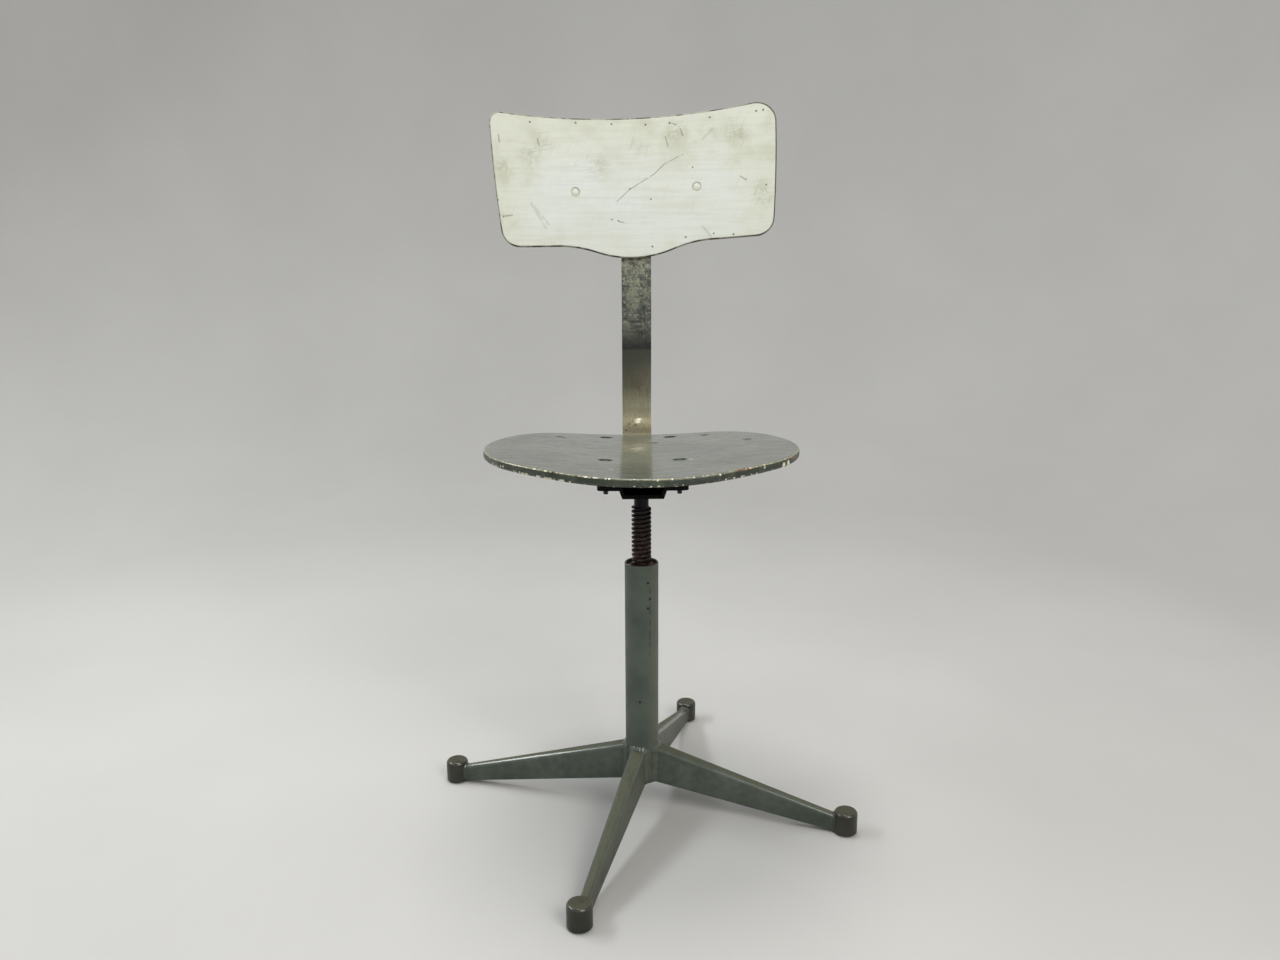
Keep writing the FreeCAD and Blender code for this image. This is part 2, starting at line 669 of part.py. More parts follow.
def make_back_strip():
    front_edges, front_end, _ = trace_strip(0)
    back_edges, back_end, _ = trace_strip(STRIP_THICKNESS)
    starts = [Vector(0, STRIP_FRONT_END, STRIP_TOP_FACE), Vector(0, STRIP_FRONT_END, HAT_FLOOR)]
    face = wire_face(front_edges + back_edges + [line(*starts), line(front_end, back_end)])
    strip = face.extrude(Vector(STRIP_WIDTH, 0, 0))
    strip.translate(Vector(-STRIP_WIDTH / 2, 0, 0))

    def end_corner(edge):
        on_side = abs(abs(edge.CenterOfMass.x) - STRIP_WIDTH / 2) < SAME_PLACE
        return on_side and abs(edge.Length - STRIP_THICKNESS) < SAME_PLACE

    strip = strip.makeFillet(STRIP_CORNER_RADIUS, edges_at(strip, end_corner))
    cuts = [place_on_back(hole) for hole in rivet_holes(RIVET_DIAMETER + 2 * RIVET_CLEARANCE)]
    for y in strip_bolt_places():
        cuts.append(cylinder(STRIP_BOLT_DIAMETER + 2 * BOLT_HOLE_CLEARANCE, HAT_FLOOR, STRIP_TOP_FACE, 0, y))
    return strip.cut(cuts)


def make_strip_bolts():
    bolts = []
    head_top = HAT_BOTTOM - M6_WASHER_THICKNESS
    tail = STRIP_TOP_FACE + M6_WASHER_THICKNESS + M6_NUT_HEIGHT + STRIP_BOLT_TAIL
    for y in strip_bolt_places():
        head = hex_prism(M6_HEAD_ACROSS, head_top - M6_HEAD_HEIGHT, head_top, 0, y)
        bolts.append(head.fuse(cylinder(STRIP_BOLT_DIAMETER, head_top, tail, 0, y)))
    return Part.makeCompound(bolts)


def make_strip_washers():
    hole = STRIP_BOLT_DIAMETER + 2 * BOLT_HOLE_CLEARANCE
    washers = []
    for y in strip_bolt_places():
        for bottom in (HAT_BOTTOM - M6_WASHER_THICKNESS, STRIP_TOP_FACE):
            washers.append(ring(M6_WASHER_DIAMETER, hole, bottom, bottom + M6_WASHER_THICKNESS, 0, y))
    return Part.makeCompound(washers)


def make_strip_nuts():
    bottom = STRIP_TOP_FACE + M6_WASHER_THICKNESS
    bore = STRIP_BOLT_DIAMETER + 2 * NUT_CLEARANCE
    return Part.makeCompound([hex_nut(M6_HEAD_ACROSS, bore, bottom, bottom + M6_NUT_HEIGHT, 0, y)
                              for y in strip_bolt_places()])


def curved_wall(inner_radius, outer_radius, bottom, top):
    """Upright wall round the backrest's axis of curvature, which stands in front of it."""
    axis_y = -CROSSBAR_BACK_RADIUS
    wall = ring(2 * outer_radius, 2 * inner_radius, bottom, top, 0, axis_y)
    keep_y = axis_y + inner_radius / 2
    keep = box(Vector(-outer_radius, keep_y, bottom), Vector(outer_radius, outer_radius, top))
    return wall.common(keep)


def backrest_outline():
    """Front outline in the XZ plane: dipped top edge, bowed tapered sides and a tongue below the middle."""
    top = BACKREST_TOP_CORNER
    low = BACKREST_BOTTOM_CORNER
    wide = BACKREST_TOP_HALF_WIDTH
    narrow = BACKREST_BOTTOM_HALF_WIDTH
    tongue = BACKREST_TONGUE_HALF_WIDTH
    drop = BACKREST_TONGUE_DROP
    tongue_radius = (tongue ** 2 + drop ** 2) / (4 * drop)
    turn = math.asin(tongue / 2 / tongue_radius)

    def flank_point(side, share):
        across = side * (tongue - tongue_radius * math.sin(share * turn))
        return Vector(BACKREST_TONGUE_OFFSET + across, 0,
                      low - tongue_radius + tongue_radius * math.cos(share * turn))

    tongue_end = Vector(BACKREST_TONGUE_OFFSET, 0, low - drop)
    edges = [arc(Vector(-wide, 0, top), Vector(0, 0, top - BACKREST_TOP_DIP), Vector(wide, 0, top)),
             arc(flank_point(-1, 1), tongue_end, flank_point(1, 1))]
    bowed_width = (wide + narrow) / 2 + BACKREST_SIDE_BULGE
    for side in (-1, 1):
        edges.append(arc(Vector(side * wide, 0, top), Vector(side * bowed_width, 0, (top + low) / 2),
                         Vector(side * narrow, 0, low)))
        edges.append(line(Vector(side * narrow, 0, low), flank_point(side, 0)))
        edges.append(arc(flank_point(side, 0), flank_point(side, 0.5), flank_point(side, 1)))
    return wire_face(edges)


def back_bolt_turn():
    """Angle of a backrest bolt about the axis of curvature."""
    return math.degrees(math.asin(BACK_BOLT_SPACING / 2 / (BACKREST_RADIUS + BACKREST_THICKNESS)))


def at_back_bolts(make_piece):
    """Copies of a piece at both backrest bolts, each pointing straight out from the axis of curvature."""
    pieces = []
    for side in (-1, 1):
        piece = backward(make_piece(), 0, 0, -CROSSBAR_BACK_RADIUS)
        piece.rotate(Vector(0, -CROSSBAR_BACK_RADIUS, 0), Z_AXIS, side * back_bolt_turn())
        pieces.append(piece)
    return pieces


def bolt_holes_in_back():
    hole = BACK_BOLT_DIAMETER + 2 * BOLT_HOLE_CLEARANCE
    return at_back_bolts(lambda: cylinder(hole, BACKREST_RADIUS - BACKREST_THICKNESS,
                                          CROSSBAR_BACK_RADIUS + BACKREST_THICKNESS))


def make_backrest():
    reach = BACKREST_TOP_CORNER - BACKREST_BOTTOM_CORNER
    wall = curved_wall(BACKREST_RADIUS, BACKREST_RADIUS + BACKREST_THICKNESS, -reach, reach)
    prism = backrest_outline().extrude(Vector(0, -2 * reach, 0))

    def corner_edge(across, level):
        return lambda edge: (abs(edge.CenterOfMass.x - across) < SAME_PLACE
                             and abs(edge.CenterOfMass.z - level) < SAME_PLACE)

    for across, level, radius in (
            (-BACKREST_TOP_HALF_WIDTH, BACKREST_TOP_CORNER, BACKREST_TOP_LEFT_RADIUS),
            (BACKREST_TOP_HALF_WIDTH, BACKREST_TOP_CORNER, BACKREST_TOP_RIGHT_RADIUS),
            (-BACKREST_BOTTOM_HALF_WIDTH, BACKREST_BOTTOM_CORNER, BACKREST_BOTTOM_RADIUS),
            (BACKREST_BOTTOM_HALF_WIDTH, BACKREST_BOTTOM_CORNER, BACKREST_BOTTOM_RADIUS)):
        prism = prism.makeFillet(radius, edges_at(prism, corner_edge(across, level)))
    backrest = wall.common(prism)

    def rim_edge(edge):
        probe = edge.valueAt((edge.FirstParameter + edge.LastParameter) / 2)
        distance = math.hypot(probe.x, probe.y + CROSSBAR_BACK_RADIUS)
        on_front = abs(distance - BACKREST_RADIUS) < SAME_CURVE
        on_back = abs(distance - BACKREST_RADIUS - BACKREST_THICKNESS) < SAME_CURVE
        return on_front or on_back

    backrest = backrest.makeFillet(BACKREST_EDGE_RADIUS, edges_at(backrest, rim_edge))
    pocket = BACK_BOLT_HEAD_DIAMETER + 2 * BACK_BOLT_HEAD_CLEARANCE
    pocket_floor = BACKREST_RADIUS + BACK_BOLT_HEAD_DEPTH
    pockets = at_back_bolts(lambda: cylinder(pocket, BACKREST_RADIUS - BACKREST_THICKNESS, pocket_floor))
    return place_on_back(backrest.cut(bolt_holes_in_back() + pockets))


def make_crossbar():
    front_radius = CROSSBAR_BACK_RADIUS - CROSSBAR_THICKNESS
    bar = curved_wall(front_radius, CROSSBAR_BACK_RADIUS, -CROSSBAR_HEIGHT / 2, CROSSBAR_HEIGHT / 2)
    half = CROSSBAR_LENGTH / 2
    front = Vector(-half, -front_radius, -CROSSBAR_HEIGHT / 2)
    plate = box(front, Vector(half, CROSSBAR_THICKNESS, CROSSBAR_HEIGHT / 2))
    long_edges = edges_at(plate, lambda edge: edge.BoundBox.YLength > front_radius)
    bar = bar.common(plate.makeFillet(CROSSBAR_END_RADIUS, long_edges))
    cuts = rivet_holes(RIVET_DIAMETER + 2 * RIVET_CLEARANCE) + bolt_holes_in_back()
    sink = RIVET_SINK_DIAMETER + 2 * RIVET_CLEARANCE
    for level in rivet_levels():
        cone = Part.makeCone(sink / 2, RIVET_DIAMETER / 2, RIVET_SINK_DEPTH)
        cuts.append(backward(cone, 0, level, -CROSSBAR_THICKNESS))
        mouth = cylinder(sink, -RIVET_SINK_DEPTH, 0)
        cuts.append(backward(mouth, 0, level, -CROSSBAR_THICKNESS))
    return place_on_back(bar.cut(cuts))


def make_strip_rivets():
    rivets = []
    for level in rivet_levels():
        shank = cylinder(RIVET_DIAMETER, -CROSSBAR_THICKNESS, STRIP_THICKNESS)
        sink = Part.makeCone(RIVET_SINK_DIAMETER / 2, RIVET_DIAMETER / 2 - RIVET_CLEARANCE, RIVET_SINK_DEPTH,
                             Vector(0, 0, -CROSSBAR_THICKNESS))
        head = dome(RIVET_HEAD_DIAMETER, RIVET_HEAD_HEIGHT, STRIP_THICKNESS)
        rivets.append(backward(shank.multiFuse([sink, head]), 0, level))
    return place_on_back(Part.makeCompound(rivets))


def make_back_bolts():
    nut_top = CROSSBAR_BACK_RADIUS + M5_WASHER_THICKNESS + M5_NUT_HEIGHT

    def bolt():
        head = dome(BACK_BOLT_HEAD_DIAMETER, BACK_BOLT_HEAD_HEIGHT, 0)
        head.rotate(Vector(), X_AXIS, 180)
        head_base = BACKREST_RADIUS + BACK_BOLT_HEAD_DEPTH
        head.translate(Vector(0, 0, head_base))
        return head.fuse(cylinder(BACK_BOLT_DIAMETER, head_base, nut_top + BACK_BOLT_TAIL))

    return place_on_back(Part.makeCompound(at_back_bolts(bolt)))


def make_back_washers():
    hole = BACK_BOLT_DIAMETER + 2 * BOLT_HOLE_CLEARANCE
    top = CROSSBAR_BACK_RADIUS + M5_WASHER_THICKNESS
    washers = at_back_bolts(lambda: ring(M5_WASHER_DIAMETER, hole, CROSSBAR_BACK_RADIUS, top))
    return place_on_back(Part.makeCompound(washers))


def make_back_nuts():
    bore = BACK_BOLT_DIAMETER + 2 * NUT_CLEARANCE
    bottom = CROSSBAR_BACK_RADIUS + M5_WASHER_THICKNESS
    nuts = at_back_bolts(lambda: hex_nut(M5_NUT_ACROSS, bore, bottom, bottom + M5_NUT_HEIGHT))
    return place_on_back(Part.makeCompound(nuts))


def all_pieces():
    pieces = {"column_tube": make_column(), "spindle_nut": make_spindle_nut()}
    for place, name in enumerate(LEG_NAMES):
        angle = FIRST_LEG_ANGLE + 360 / len(LEG_NAMES) * place
        pieces["leg_" + name] = make_leg(angle)
        pieces["foot_" + name] = make_foot(angle)
        pieces["glide_" + name] = make_glide(angle)
    pieces["guide_bush"] = make_guide_bush()
    pieces["spindle"] = make_spindle()
    pieces["stop_washer"] = make_stop_washer()
    pieces["stop_bolt"] = make_stop_bolt()
    pieces["seat_bracket"] = make_bracket()
    pieces["packing_left"] = make_packing(-1)
    pieces["packing_right"] = make_packing(1)
    pieces["seat"] = make_seat()
    pieces["seat_bolts"] = make_seat_bolts()
    pieces["back_strip"] = make_back_strip()
    pieces["strip_bolts"] = make_strip_bolts()
    pieces["strip_washers"] = make_strip_washers()
    pieces["strip_nuts"] = make_strip_nuts()
    pieces["backrest"] = make_backrest()
    pieces["crossbar"] = make_crossbar()
    pieces["strip_rivets"] = make_strip_rivets()
    pieces["backrest_bolts"] = make_back_bolts()
    pieces["backrest_washers"] = make_back_washers()
    pieces["backrest_nuts"] = make_back_nuts()
    return pieces


os.makedirs("parts", exist_ok=True)
for node, shape in all_pieces().items():
    shape.exportStep("parts/" + node + ".step")
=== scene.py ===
import math

import bmesh
import bpy
from mathutils import Matrix, Vector


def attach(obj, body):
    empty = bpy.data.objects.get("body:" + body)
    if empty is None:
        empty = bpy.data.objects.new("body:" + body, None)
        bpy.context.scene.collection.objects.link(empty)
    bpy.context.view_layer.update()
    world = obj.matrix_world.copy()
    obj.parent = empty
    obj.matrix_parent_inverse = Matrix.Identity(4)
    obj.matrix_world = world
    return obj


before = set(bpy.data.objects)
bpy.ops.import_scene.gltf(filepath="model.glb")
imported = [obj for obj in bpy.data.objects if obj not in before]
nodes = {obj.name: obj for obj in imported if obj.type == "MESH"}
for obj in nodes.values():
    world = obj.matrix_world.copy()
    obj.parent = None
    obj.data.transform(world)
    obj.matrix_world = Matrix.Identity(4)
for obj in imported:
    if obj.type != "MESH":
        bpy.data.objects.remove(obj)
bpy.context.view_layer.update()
scene = bpy.context.scene

# Metres and degrees, unless a comment says otherwise. +Z is up, the sitter faces -Y, and the origin
# is on the floor under the swivel axis.

# View of the chair, worked out for an image 1280 wide. The sensor is in millimetres.
IMAGE_WIDTH = 1280
FOCAL_PIXELS = 1053.1
SENSOR_WIDTH = 36.0
VIEW_DISTANCE = 1.13375
VIEW_HEIGHT = 0.6518
VIEW_PITCH = 12.78
VIEW_ROLL = -0.2
VIEW_TURN = 1.6
VIEW_AIM = -0.07
CLIP_NEAR = 0.01
CLIP_FAR = 50.0

# Sizes shared with the solids
COLUMN_RADIUS = 0.019
COLUMN_BOTTOM = 0.037
LEGS = ("front", "right", "rear", "left")
LEG_TURNS = (-106.6, -16.6, 73.4, 163.4)
LEG_HUB_WIDTH = 0.0175
LEG_HUB_HEIGHT = 0.043
LEG_TIP_WIDTH = 0.011
LEG_TIP_BOTTOM = 0.003
LEG_TIP_HEIGHT = 0.019
LEG_EDGE_RADIUS = 0.0046
FOOT_CIRCLE_RADIUS = 0.237
FOOT_RADIUS = 0.013
LEG_RUN = FOOT_CIRCLE_RADIUS - FOOT_RADIUS - COLUMN_RADIUS
LEG_BOTTOM_FALL = (COLUMN_BOTTOM - LEG_TIP_BOTTOM) / LEG_RUN
LEG_TOP_FALL = (COLUMN_BOTTOM + LEG_HUB_HEIGHT - LEG_TIP_BOTTOM - LEG_TIP_HEIGHT) / LEG_RUN
THREAD_TOP = 0.3642
THREAD_GROOVE_RADIUS = 0.0099
THREAD_CREST_RADIUS = 0.0108
BOLT_END_TOP = 0.42

# Fillet welds. Ripple and crown are shares of the weld's size.
HUB_WELD_SIZE = 0.0042
HUB_WELD_LIFT = 0.001
FOOT_WELD_SIZE = 0.002
FOOT_WELD_LIFT = 0.002
WELD_SINK = 0.0006
WELD_RIPPLE = 0.14
WELD_RIPPLE_STEP = 1.9
WELD_CROWN = 0.1
WELD_CROWN_SHARES = (0.25, 0.5, 0.75)
WELD_SIDE_STEPS = 14
WELD_CORNER_STEPS = 7
WELD_TOP_STEPS = 3

# Where finishes change. Each pair says where a mask is none and where it is full.
SCUFFED_LEVELS = (0.1, 0.07)
GRIMY_LEVELS = (0.055, 0.015)
BOLT_END_LEVELS = (BOLT_END_TOP, BOLT_END_TOP - 0.001)
SPINDLE_NECK_LEVELS = (THREAD_TOP - 0.0005, THREAD_TOP + 0.0005)
SPINDLE_RUST_LEVELS = (0.36, 0.31)
SEAT_FRONT_HALF = (0.09, 0.0)
SEAT_WORN_ENDS = (0.095, 0.112)
STRIP_UPPER_LEVELS = (0.52, 0.56)
STRIP_LOWER_LEVELS = (0.525, 0.51)
# Dark band on the strip, a painted reflection of the dark room in front
STRIP_DARK_REFLECTION_FOOT = (0.521, 0.524)
STRIP_DARK_REFLECTION_HEAD = (0.545, 0.535)
BACK_WORN_SIDE = (0.10, 0.15)

# Colour of the strip by height, painted reflections: a lamp's yellow glow near the bend, the seat mirrored
# above it, a dark band where the dark room in front is mirrored, and paler higher up
STRIP_REFLECTION_TONES = ((0.42, (128, 122, 96)), (0.433, (164, 159, 130)), (0.447, (178, 174, 146)),
               (0.4725, (110, 109, 89)), (0.504, (78, 80, 70)), (0.518, (72, 74, 65)),
               (0.5215, (14, 14, 14)), (0.540, (18, 18, 18)), (0.549, (54, 59, 57)),
               (0.58, (92, 97, 90)), (0.64, (160, 162, 143)))

# Marks of use on the backrest, placed across and up. The size of a spot is its radius and its soft rim.
TACK_HOLES = ((-0.126, 0.7905), (-0.072, 0.7905), (-0.029, 0.7893), (0.012, 0.7888), (0.041, 0.7905),
              (0.089, 0.7963), (0.143, 0.8022), (0.151, 0.8032), (0.0195, 0.6453), (0.060, 0.6564),
              (0.117, 0.6595))
TACK_HOLE_SIZE = (0.0006, 0.0011)
NICKS = ((-0.0295, 0.6775), (-0.0217, 0.676), (0.0685, 0.7385), (0.018, 0.7015), (0.155, 0.717),
         (-0.0072, 0.7135), (-0.164, 0.700), (-0.158, 0.681), (0.0936, 0.6605))
NICK_SIZE = (0.0005, 0.0009)
LONG_SCRATCH = ((-0.023, 0.699), (-0.0072, 0.7133), (0.0219, 0.7308), (0.0352, 0.7432), (0.0568, 0.7538))
LONG_SCRATCH_WIDTH = 0.0009
SHORT_SCRATCHES = (((-0.1625, 0.775), (-0.1615, 0.766)), ((0.036, 0.7745), (0.039, 0.7635)),
                   ((0.053, 0.7855), (0.057, 0.7755)), ((0.041, 0.791), (0.049, 0.7885)),
                   ((-0.021, 0.6752), (-0.012, 0.6732)), ((0.125, 0.7275), (0.132, 0.723)),
                   ((-0.1175, 0.771), (-0.1155, 0.764)), ((-0.156, 0.6815), (-0.148, 0.6825)))
SHORT_SCRATCH_WIDTH = 0.0012
SOFT_SCRATCHES = (((-0.126, 0.6965), (-0.109, 0.6675)), ((-0.122, 0.692), (-0.105, 0.671)),
                  ((0.080, 0.6695), (0.090, 0.6575)), ((0.080, 0.771), (0.092, 0.783)))
SOFT_SCRATCH_WIDTH = 0.0022
BACK_STAINS = ((0.119, 0.7775), (-0.045, 0.739), (-0.160, 0.737), (0.0485, 0.780), (0.152, 0.7055),
               (-0.125, 0.752))
BACK_STAIN_SIZE = (0.002, 0.02)
BACK_STAIN_SLANT = 5.0
SCUFFS = ((0.119, 0.7775), (0.047, 0.771), (-0.062, 0.740), (0.005, 0.762), (0.140, 0.7135), (-0.110, 0.766))
SCUFF_SIZE = (0.004, 0.024)
HAIRLINE_SLANTS = (12.0, 68.0)
BACK_CLEAN_MIDDLE = ((-0.07, 0.695), (0.0, 0.695), (0.07, 0.695))
BACK_CLEAN_SIZE = (0.02, 0.075)

# Marks of use on the seat, those on its top placed across and back
SEAT_BOLTS = ((-0.039, -0.053), (0.039, -0.053), (-0.039, 0.136), (0.039, 0.136))
BOLT_RING_SIZE = (0.0062, 0.004)
SEAT_DENTS = ((-0.093, 0.108), (0.123, 0.053), (0.081, 0.125), (0.018, 0.087))
DENT_SIZE = (0.0034, 0.0045)
SEAT_TOP_CHIPS = ((-0.0335, -0.113), (0.0503, -0.057))
TOP_CHIP_SIZE = (0.0014, 0.0022)
SEAT_RUB_SLANT = 3.0
SEAT_EDGE_CHIPS = ((0.064, -0.1572, 0.4359), (0.0708, -0.1585, 0.4351), (0.0764, -0.1567, 0.4297),
                   (0.1187, -0.131, 0.4313), (0.1167, -0.134, 0.4364), (0.0108, -0.1703, 0.4329),
                   (0.0245, -0.1688, 0.4335), (-0.1568, -0.076, 0.4364), (-0.1524, -0.0871, 0.4332),
                   (-0.1485, -0.0951, 0.4326), (-0.143, -0.1045, 0.4338), (-0.1401, -0.1088, 0.4345),
                   (-0.1221, -0.1293, 0.4327))
EDGE_CHIP_SIZE = (0.0007, 0.0007)
SEAT_LARGE_CHIPS = ((0.1454, -0.1007, 0.4336), (0.1394, -0.1098, 0.4333))
LARGE_CHIP_SIZE = (0.0022, 0.0016)
SEAT_LOW_DASHES = ((-0.1037, -0.1432, 0.4316), (-0.0786, -0.1558, 0.4299))
LOW_DASH_WIDTH = 0.0017
SEAT_BARE_WOOD = (((0.0876, -0.1509, 0.4374), (0.1025, -0.1436, 0.4379)),
                  ((0.1506, -0.0909, 0.4358), (0.1576, -0.0741, 0.4345)))
BARE_WOOD_WIDTH = 0.0016
# Notch in the seat's front edge, painted near black as shade
SEAT_NOTCH = (-0.0885, -0.151, 0.4371)
NOTCH_SIZE = (0.0009, 0.0009)

# Marks of use on the strip and the column, and brown patches on the strip that are a painted reflection of
# the seat's red-brown worn place
STRIP_DIRT = ((-0.010, 0.1907, 0.4248), (-0.0015, 0.1901, 0.4234), (-0.0137, 0.1863, 0.4169),
              (-0.0057, 0.192, 0.4281))
STRIP_DIRT_SIZE = (0.0006, 0.0016)
STRIP_BROWN_REFLECTIONS = ((0.010, 0.193, 0.466), (0.0095, 0.1945, 0.487), (0.003, 0.1925, 0.474))
STRIP_BROWN_REFLECTION_SIZE = (0.001, 0.012)
COLUMN_SCRATCH = ((0.0089, -0.0168, 0.274), (0.0088, -0.0168, 0.196))
COLUMN_SCRATCH_WIDTH = 0.0014
COLUMN_CHIPS = ((0.0066, -0.0178, 0.281), (0.0089, -0.0168, 0.262), (0.0066, -0.0178, 0.2513),
                (-0.0028, -0.0188, 0.139))
COLUMN_CHIP_SIZE = (0.0011, 0.0008)

# Stage
FLOOR_RINGS = (0.0, 0.6, 1.2)
FLOOR_REACH = 2.6
FLOOR_BEND = 1.2
FLOOR_BEND_STEPS = 16
FLOOR_SPOKES = 96
WALL_HEIGHT = 3.4
SKY_LEVEL = 0.5


def srgb(red, green, blue):
    """Colour as seen on screen, 0 to 255, turned into the linear values that shaders take."""
    linear = []
    for level in (red, green, blue):
        share = level / 255
        linear.append(share / 12.92 if share <= 0.04045 else ((share + 0.055) / 1.055) ** 2.4)
    return (*linear, 1.0)


def on_face(places):
    """Places on the backrest's face, from across and up."""
    return [(across, 0.0, level) for across, level in places]


def on_plan(places):
    """Places on the seat's plan, from across and back."""
    return [(across, back, 0.0) for across, back in places]


# Shader building

def put(tree, kind, inputs=None, **settings):
    """Add a node, set its options, and link or set each named input."""
    node = tree.nodes.new(kind)
    for name, value in settings.items():
        setattr(node, name, value)
    for name, value in (inputs or {}).items():
        if isinstance(value, bpy.types.NodeSocket):
            tree.links.new(value, node.inputs[name])
        else:
            node.inputs[name].default_value = value
    return node


def calculate(tree, operation, first, second=0.0, limit=False):
    node = put(tree, "ShaderNodeMath", {0: first, 1: second}, operation=operation, use_clamp=limit)
    return node.outputs[0]


def vector(tree, operation, first, second=(0.0, 0.0, 0.0)):
    return put(tree, "ShaderNodeVectorMath", {0: first, 1: second}, operation=operation).outputs


def grade(tree, value, low, high, start=0.0, end=1.0):
    """Smooth step of a value from start at low to end at high."""
    node = put(tree, "ShaderNodeMapRange",
               {"Value": value, "From Min": low, "From Max": high, "To Min": start, "To Max": end},
               interpolation_type="SMOOTHSTEP")
    return node.outputs[0]


def new_group(name, inputs, outputs):
    """Empty shader group and its two end nodes. Inputs with no value are vectors, all else is a number."""
    tree = bpy.data.node_groups.new(name, "ShaderNodeTree")
    for socket, value in inputs.items():
        kind = "NodeSocketVector" if value is None else "NodeSocketFloat"
        made = tree.interface.new_socket(socket, in_out="INPUT", socket_type=kind)
        if value is not None:
            made.default_value = value
    for socket in outputs:
        tree.interface.new_socket(socket, in_out="OUTPUT", socket_type="NodeSocketFloat")
    return tree, tree.nodes.new("NodeGroupInput").outputs, tree.nodes.new("NodeGroupOutput").inputs


def make_mottle_group():
    """Cloudy mask: noise of a given size, stepped between two levels."""
    tree, given, result = new_group(
        "mottle", {"Place": None, "Scale": 20.0, "Detail": 4.0, "Low": 0.4, "High": 0.6}, ["Mask"])
    cloud = put(tree, "ShaderNodeTexNoise",
                {"Vector": given["Place"], "Scale": given["Scale"], "Detail": given["Detail"]})
    tree.links.new(grade(tree, cloud.outputs[0], given["Low"], given["High"]), result["Mask"])
    return tree


def make_streak_group():
    """Long thin marks: noise stretched along X, Y or Z by the stretch values."""
    tree, given, result = new_group(
        "streaks",
        {"Place": None, "Along X": 1.0, "Along Y": 1.0, "Along Z": 1.0, "Low": 0.4, "High": 0.6},
        ["Mask", "Height"])
    stretch = put(tree, "ShaderNodeCombineXYZ",
                  {0: given["Along X"], 1: given["Along Y"], 2: given["Along Z"]}).outputs[0]
    place = vector(tree, "MULTIPLY", given["Place"], stretch)[0]
    lines = put(tree, "ShaderNodeTexNoise", {"Vector": place, "Scale": 1.0, "Detail": 5.0}).outputs[0]
    tree.links.new(grade(tree, lines, given["Low"], given["High"]), result["Mask"])
    tree.links.new(lines, result["Height"])
    return tree


def make_chip_group():
    """Sharp irregular flakes where paint has come off, more of them where the share is higher."""
    no_chip_level = 0.86
    sharpness = 0.03
    tree, given, result = new_group("paint_chips", {"Place": None, "Scale": 150.0, "Share": 0.2}, ["Mask"])
    coarse = put(tree, "ShaderNodeTexNoise",
                 {"Vector": given["Place"], "Scale": given["Scale"], "Detail": 3.0, "Roughness": 0.65})
    limit = calculate(tree, "SUBTRACT", no_chip_level, given["Share"])
    upper = calculate(tree, "ADD", limit, sharpness)
    tree.links.new(grade(tree, coarse.outputs[0], limit, upper), result["Mask"])
    return tree


def make_fleck_group():
    """Scattered single flakes of lost paint: a share of the cells holds one, with an uneven outline."""
    finer_scale = 3.0
    smallest = 0.5
    unevenness = 0.25
    softness = 0.06
    tree, given, result = new_group(
        "flecks", {"Place": None, "Scale": 250.0, "Share": 0.2, "Size": 0.4}, ["Mask"])
    cells = put(tree, "ShaderNodeTexVoronoi", {"Vector": given["Place"], "Scale": given["Scale"]}).outputs
    draws = put(tree, "ShaderNodeSeparateColor", {0: cells["Color"]}).outputs
    finer = calculate(tree, "MULTIPLY", given["Scale"], finer_scale)
    uneven = put(tree, "ShaderNodeTexNoise",
                 {"Vector": given["Place"], "Scale": finer, "Detail": 2.0}).outputs[0]
    reach = calculate(tree, "MULTIPLY", given["Size"], grade(tree, draws[1], 0.0, 1.0, smallest, 1.0))
    shift = grade(tree, uneven, 0.2, 0.8, -unevenness, unevenness)
    apart = calculate(tree, "ADD", cells["Distance"], shift)
    inside = grade(tree, apart, calculate(tree, "ADD", reach, softness), reach)
    chosen = calculate(tree, "LESS_THAN", draws[0], given["Share"])
    tree.links.new(calculate(tree, "MULTIPLY", chosen, inside), result["Mask"])
    return tree


def make_spot_group():
    """Round spot about a centre, with a soft rim."""
    tree, given, result = new_group(
        "spot", {"Place": None, "Centre": None, "Radius": 0.001, "Soft": 0.0005}, ["Mask"])
    apart = vector(tree, "DISTANCE", given["Place"], given["Centre"])["Value"]
    outer = calculate(tree, "ADD", given["Radius"], given["Soft"])
    tree.links.new(grade(tree, apart, outer, given["Radius"]), result["Mask"])
    return tree


def make_scratch_group():
    """Thin straight line between two points, with a soft rim."""
    core_share = 0.3
    tree, given, result = new_group(
        "scratch", {"Place": None, "Start": None, "End": None, "Width": 0.0005}, ["Mask"])
    along = vector(tree, "SUBTRACT", given["End"], given["Start"])[0]
    reach = vector(tree, "SUBTRACT", given["Place"], given["Start"])[0]
    ahead = vector(tree, "DOT_PRODUCT", reach, along)["Value"]
    length = vector(tree, "DOT_PRODUCT", along, along)["Value"]
    share = calculate(tree, "DIVIDE", ahead, length, True)
    scaled = put(tree, "ShaderNodeVectorMath", {0: along, "Scale": share}, operation="SCALE").outputs[0]
    apart = vector(tree, "DISTANCE", reach, scaled)["Value"]
    core = calculate(tree, "MULTIPLY", given["Width"], core_share)
    tree.links.new(grade(tree, apart, given["Width"], core), result["Mask"])
    return tree


MOTTLE = make_mottle_group()
STREAKS = make_streak_group()
CHIPS = make_chip_group()
FLECKS = make_fleck_group()
SPOT = make_spot_group()
SCRATCH = make_scratch_group()


def use_group(tree, group, place, **values):
    """Place a shared effect with its own values. Underscores in value names stand for spaces."""
    node = put(tree, "ShaderNodeGroup", node_tree=group)
    tree.links.new(place, node.inputs["Place"])
    for name, value in values.items():
        socket = node.inputs[name.replace("_", " ")]
        if isinstance(value, bpy.types.NodeSocket):
            tree.links.new(value, socket)
        else:
            socket.default_value = value
    return node.outputs


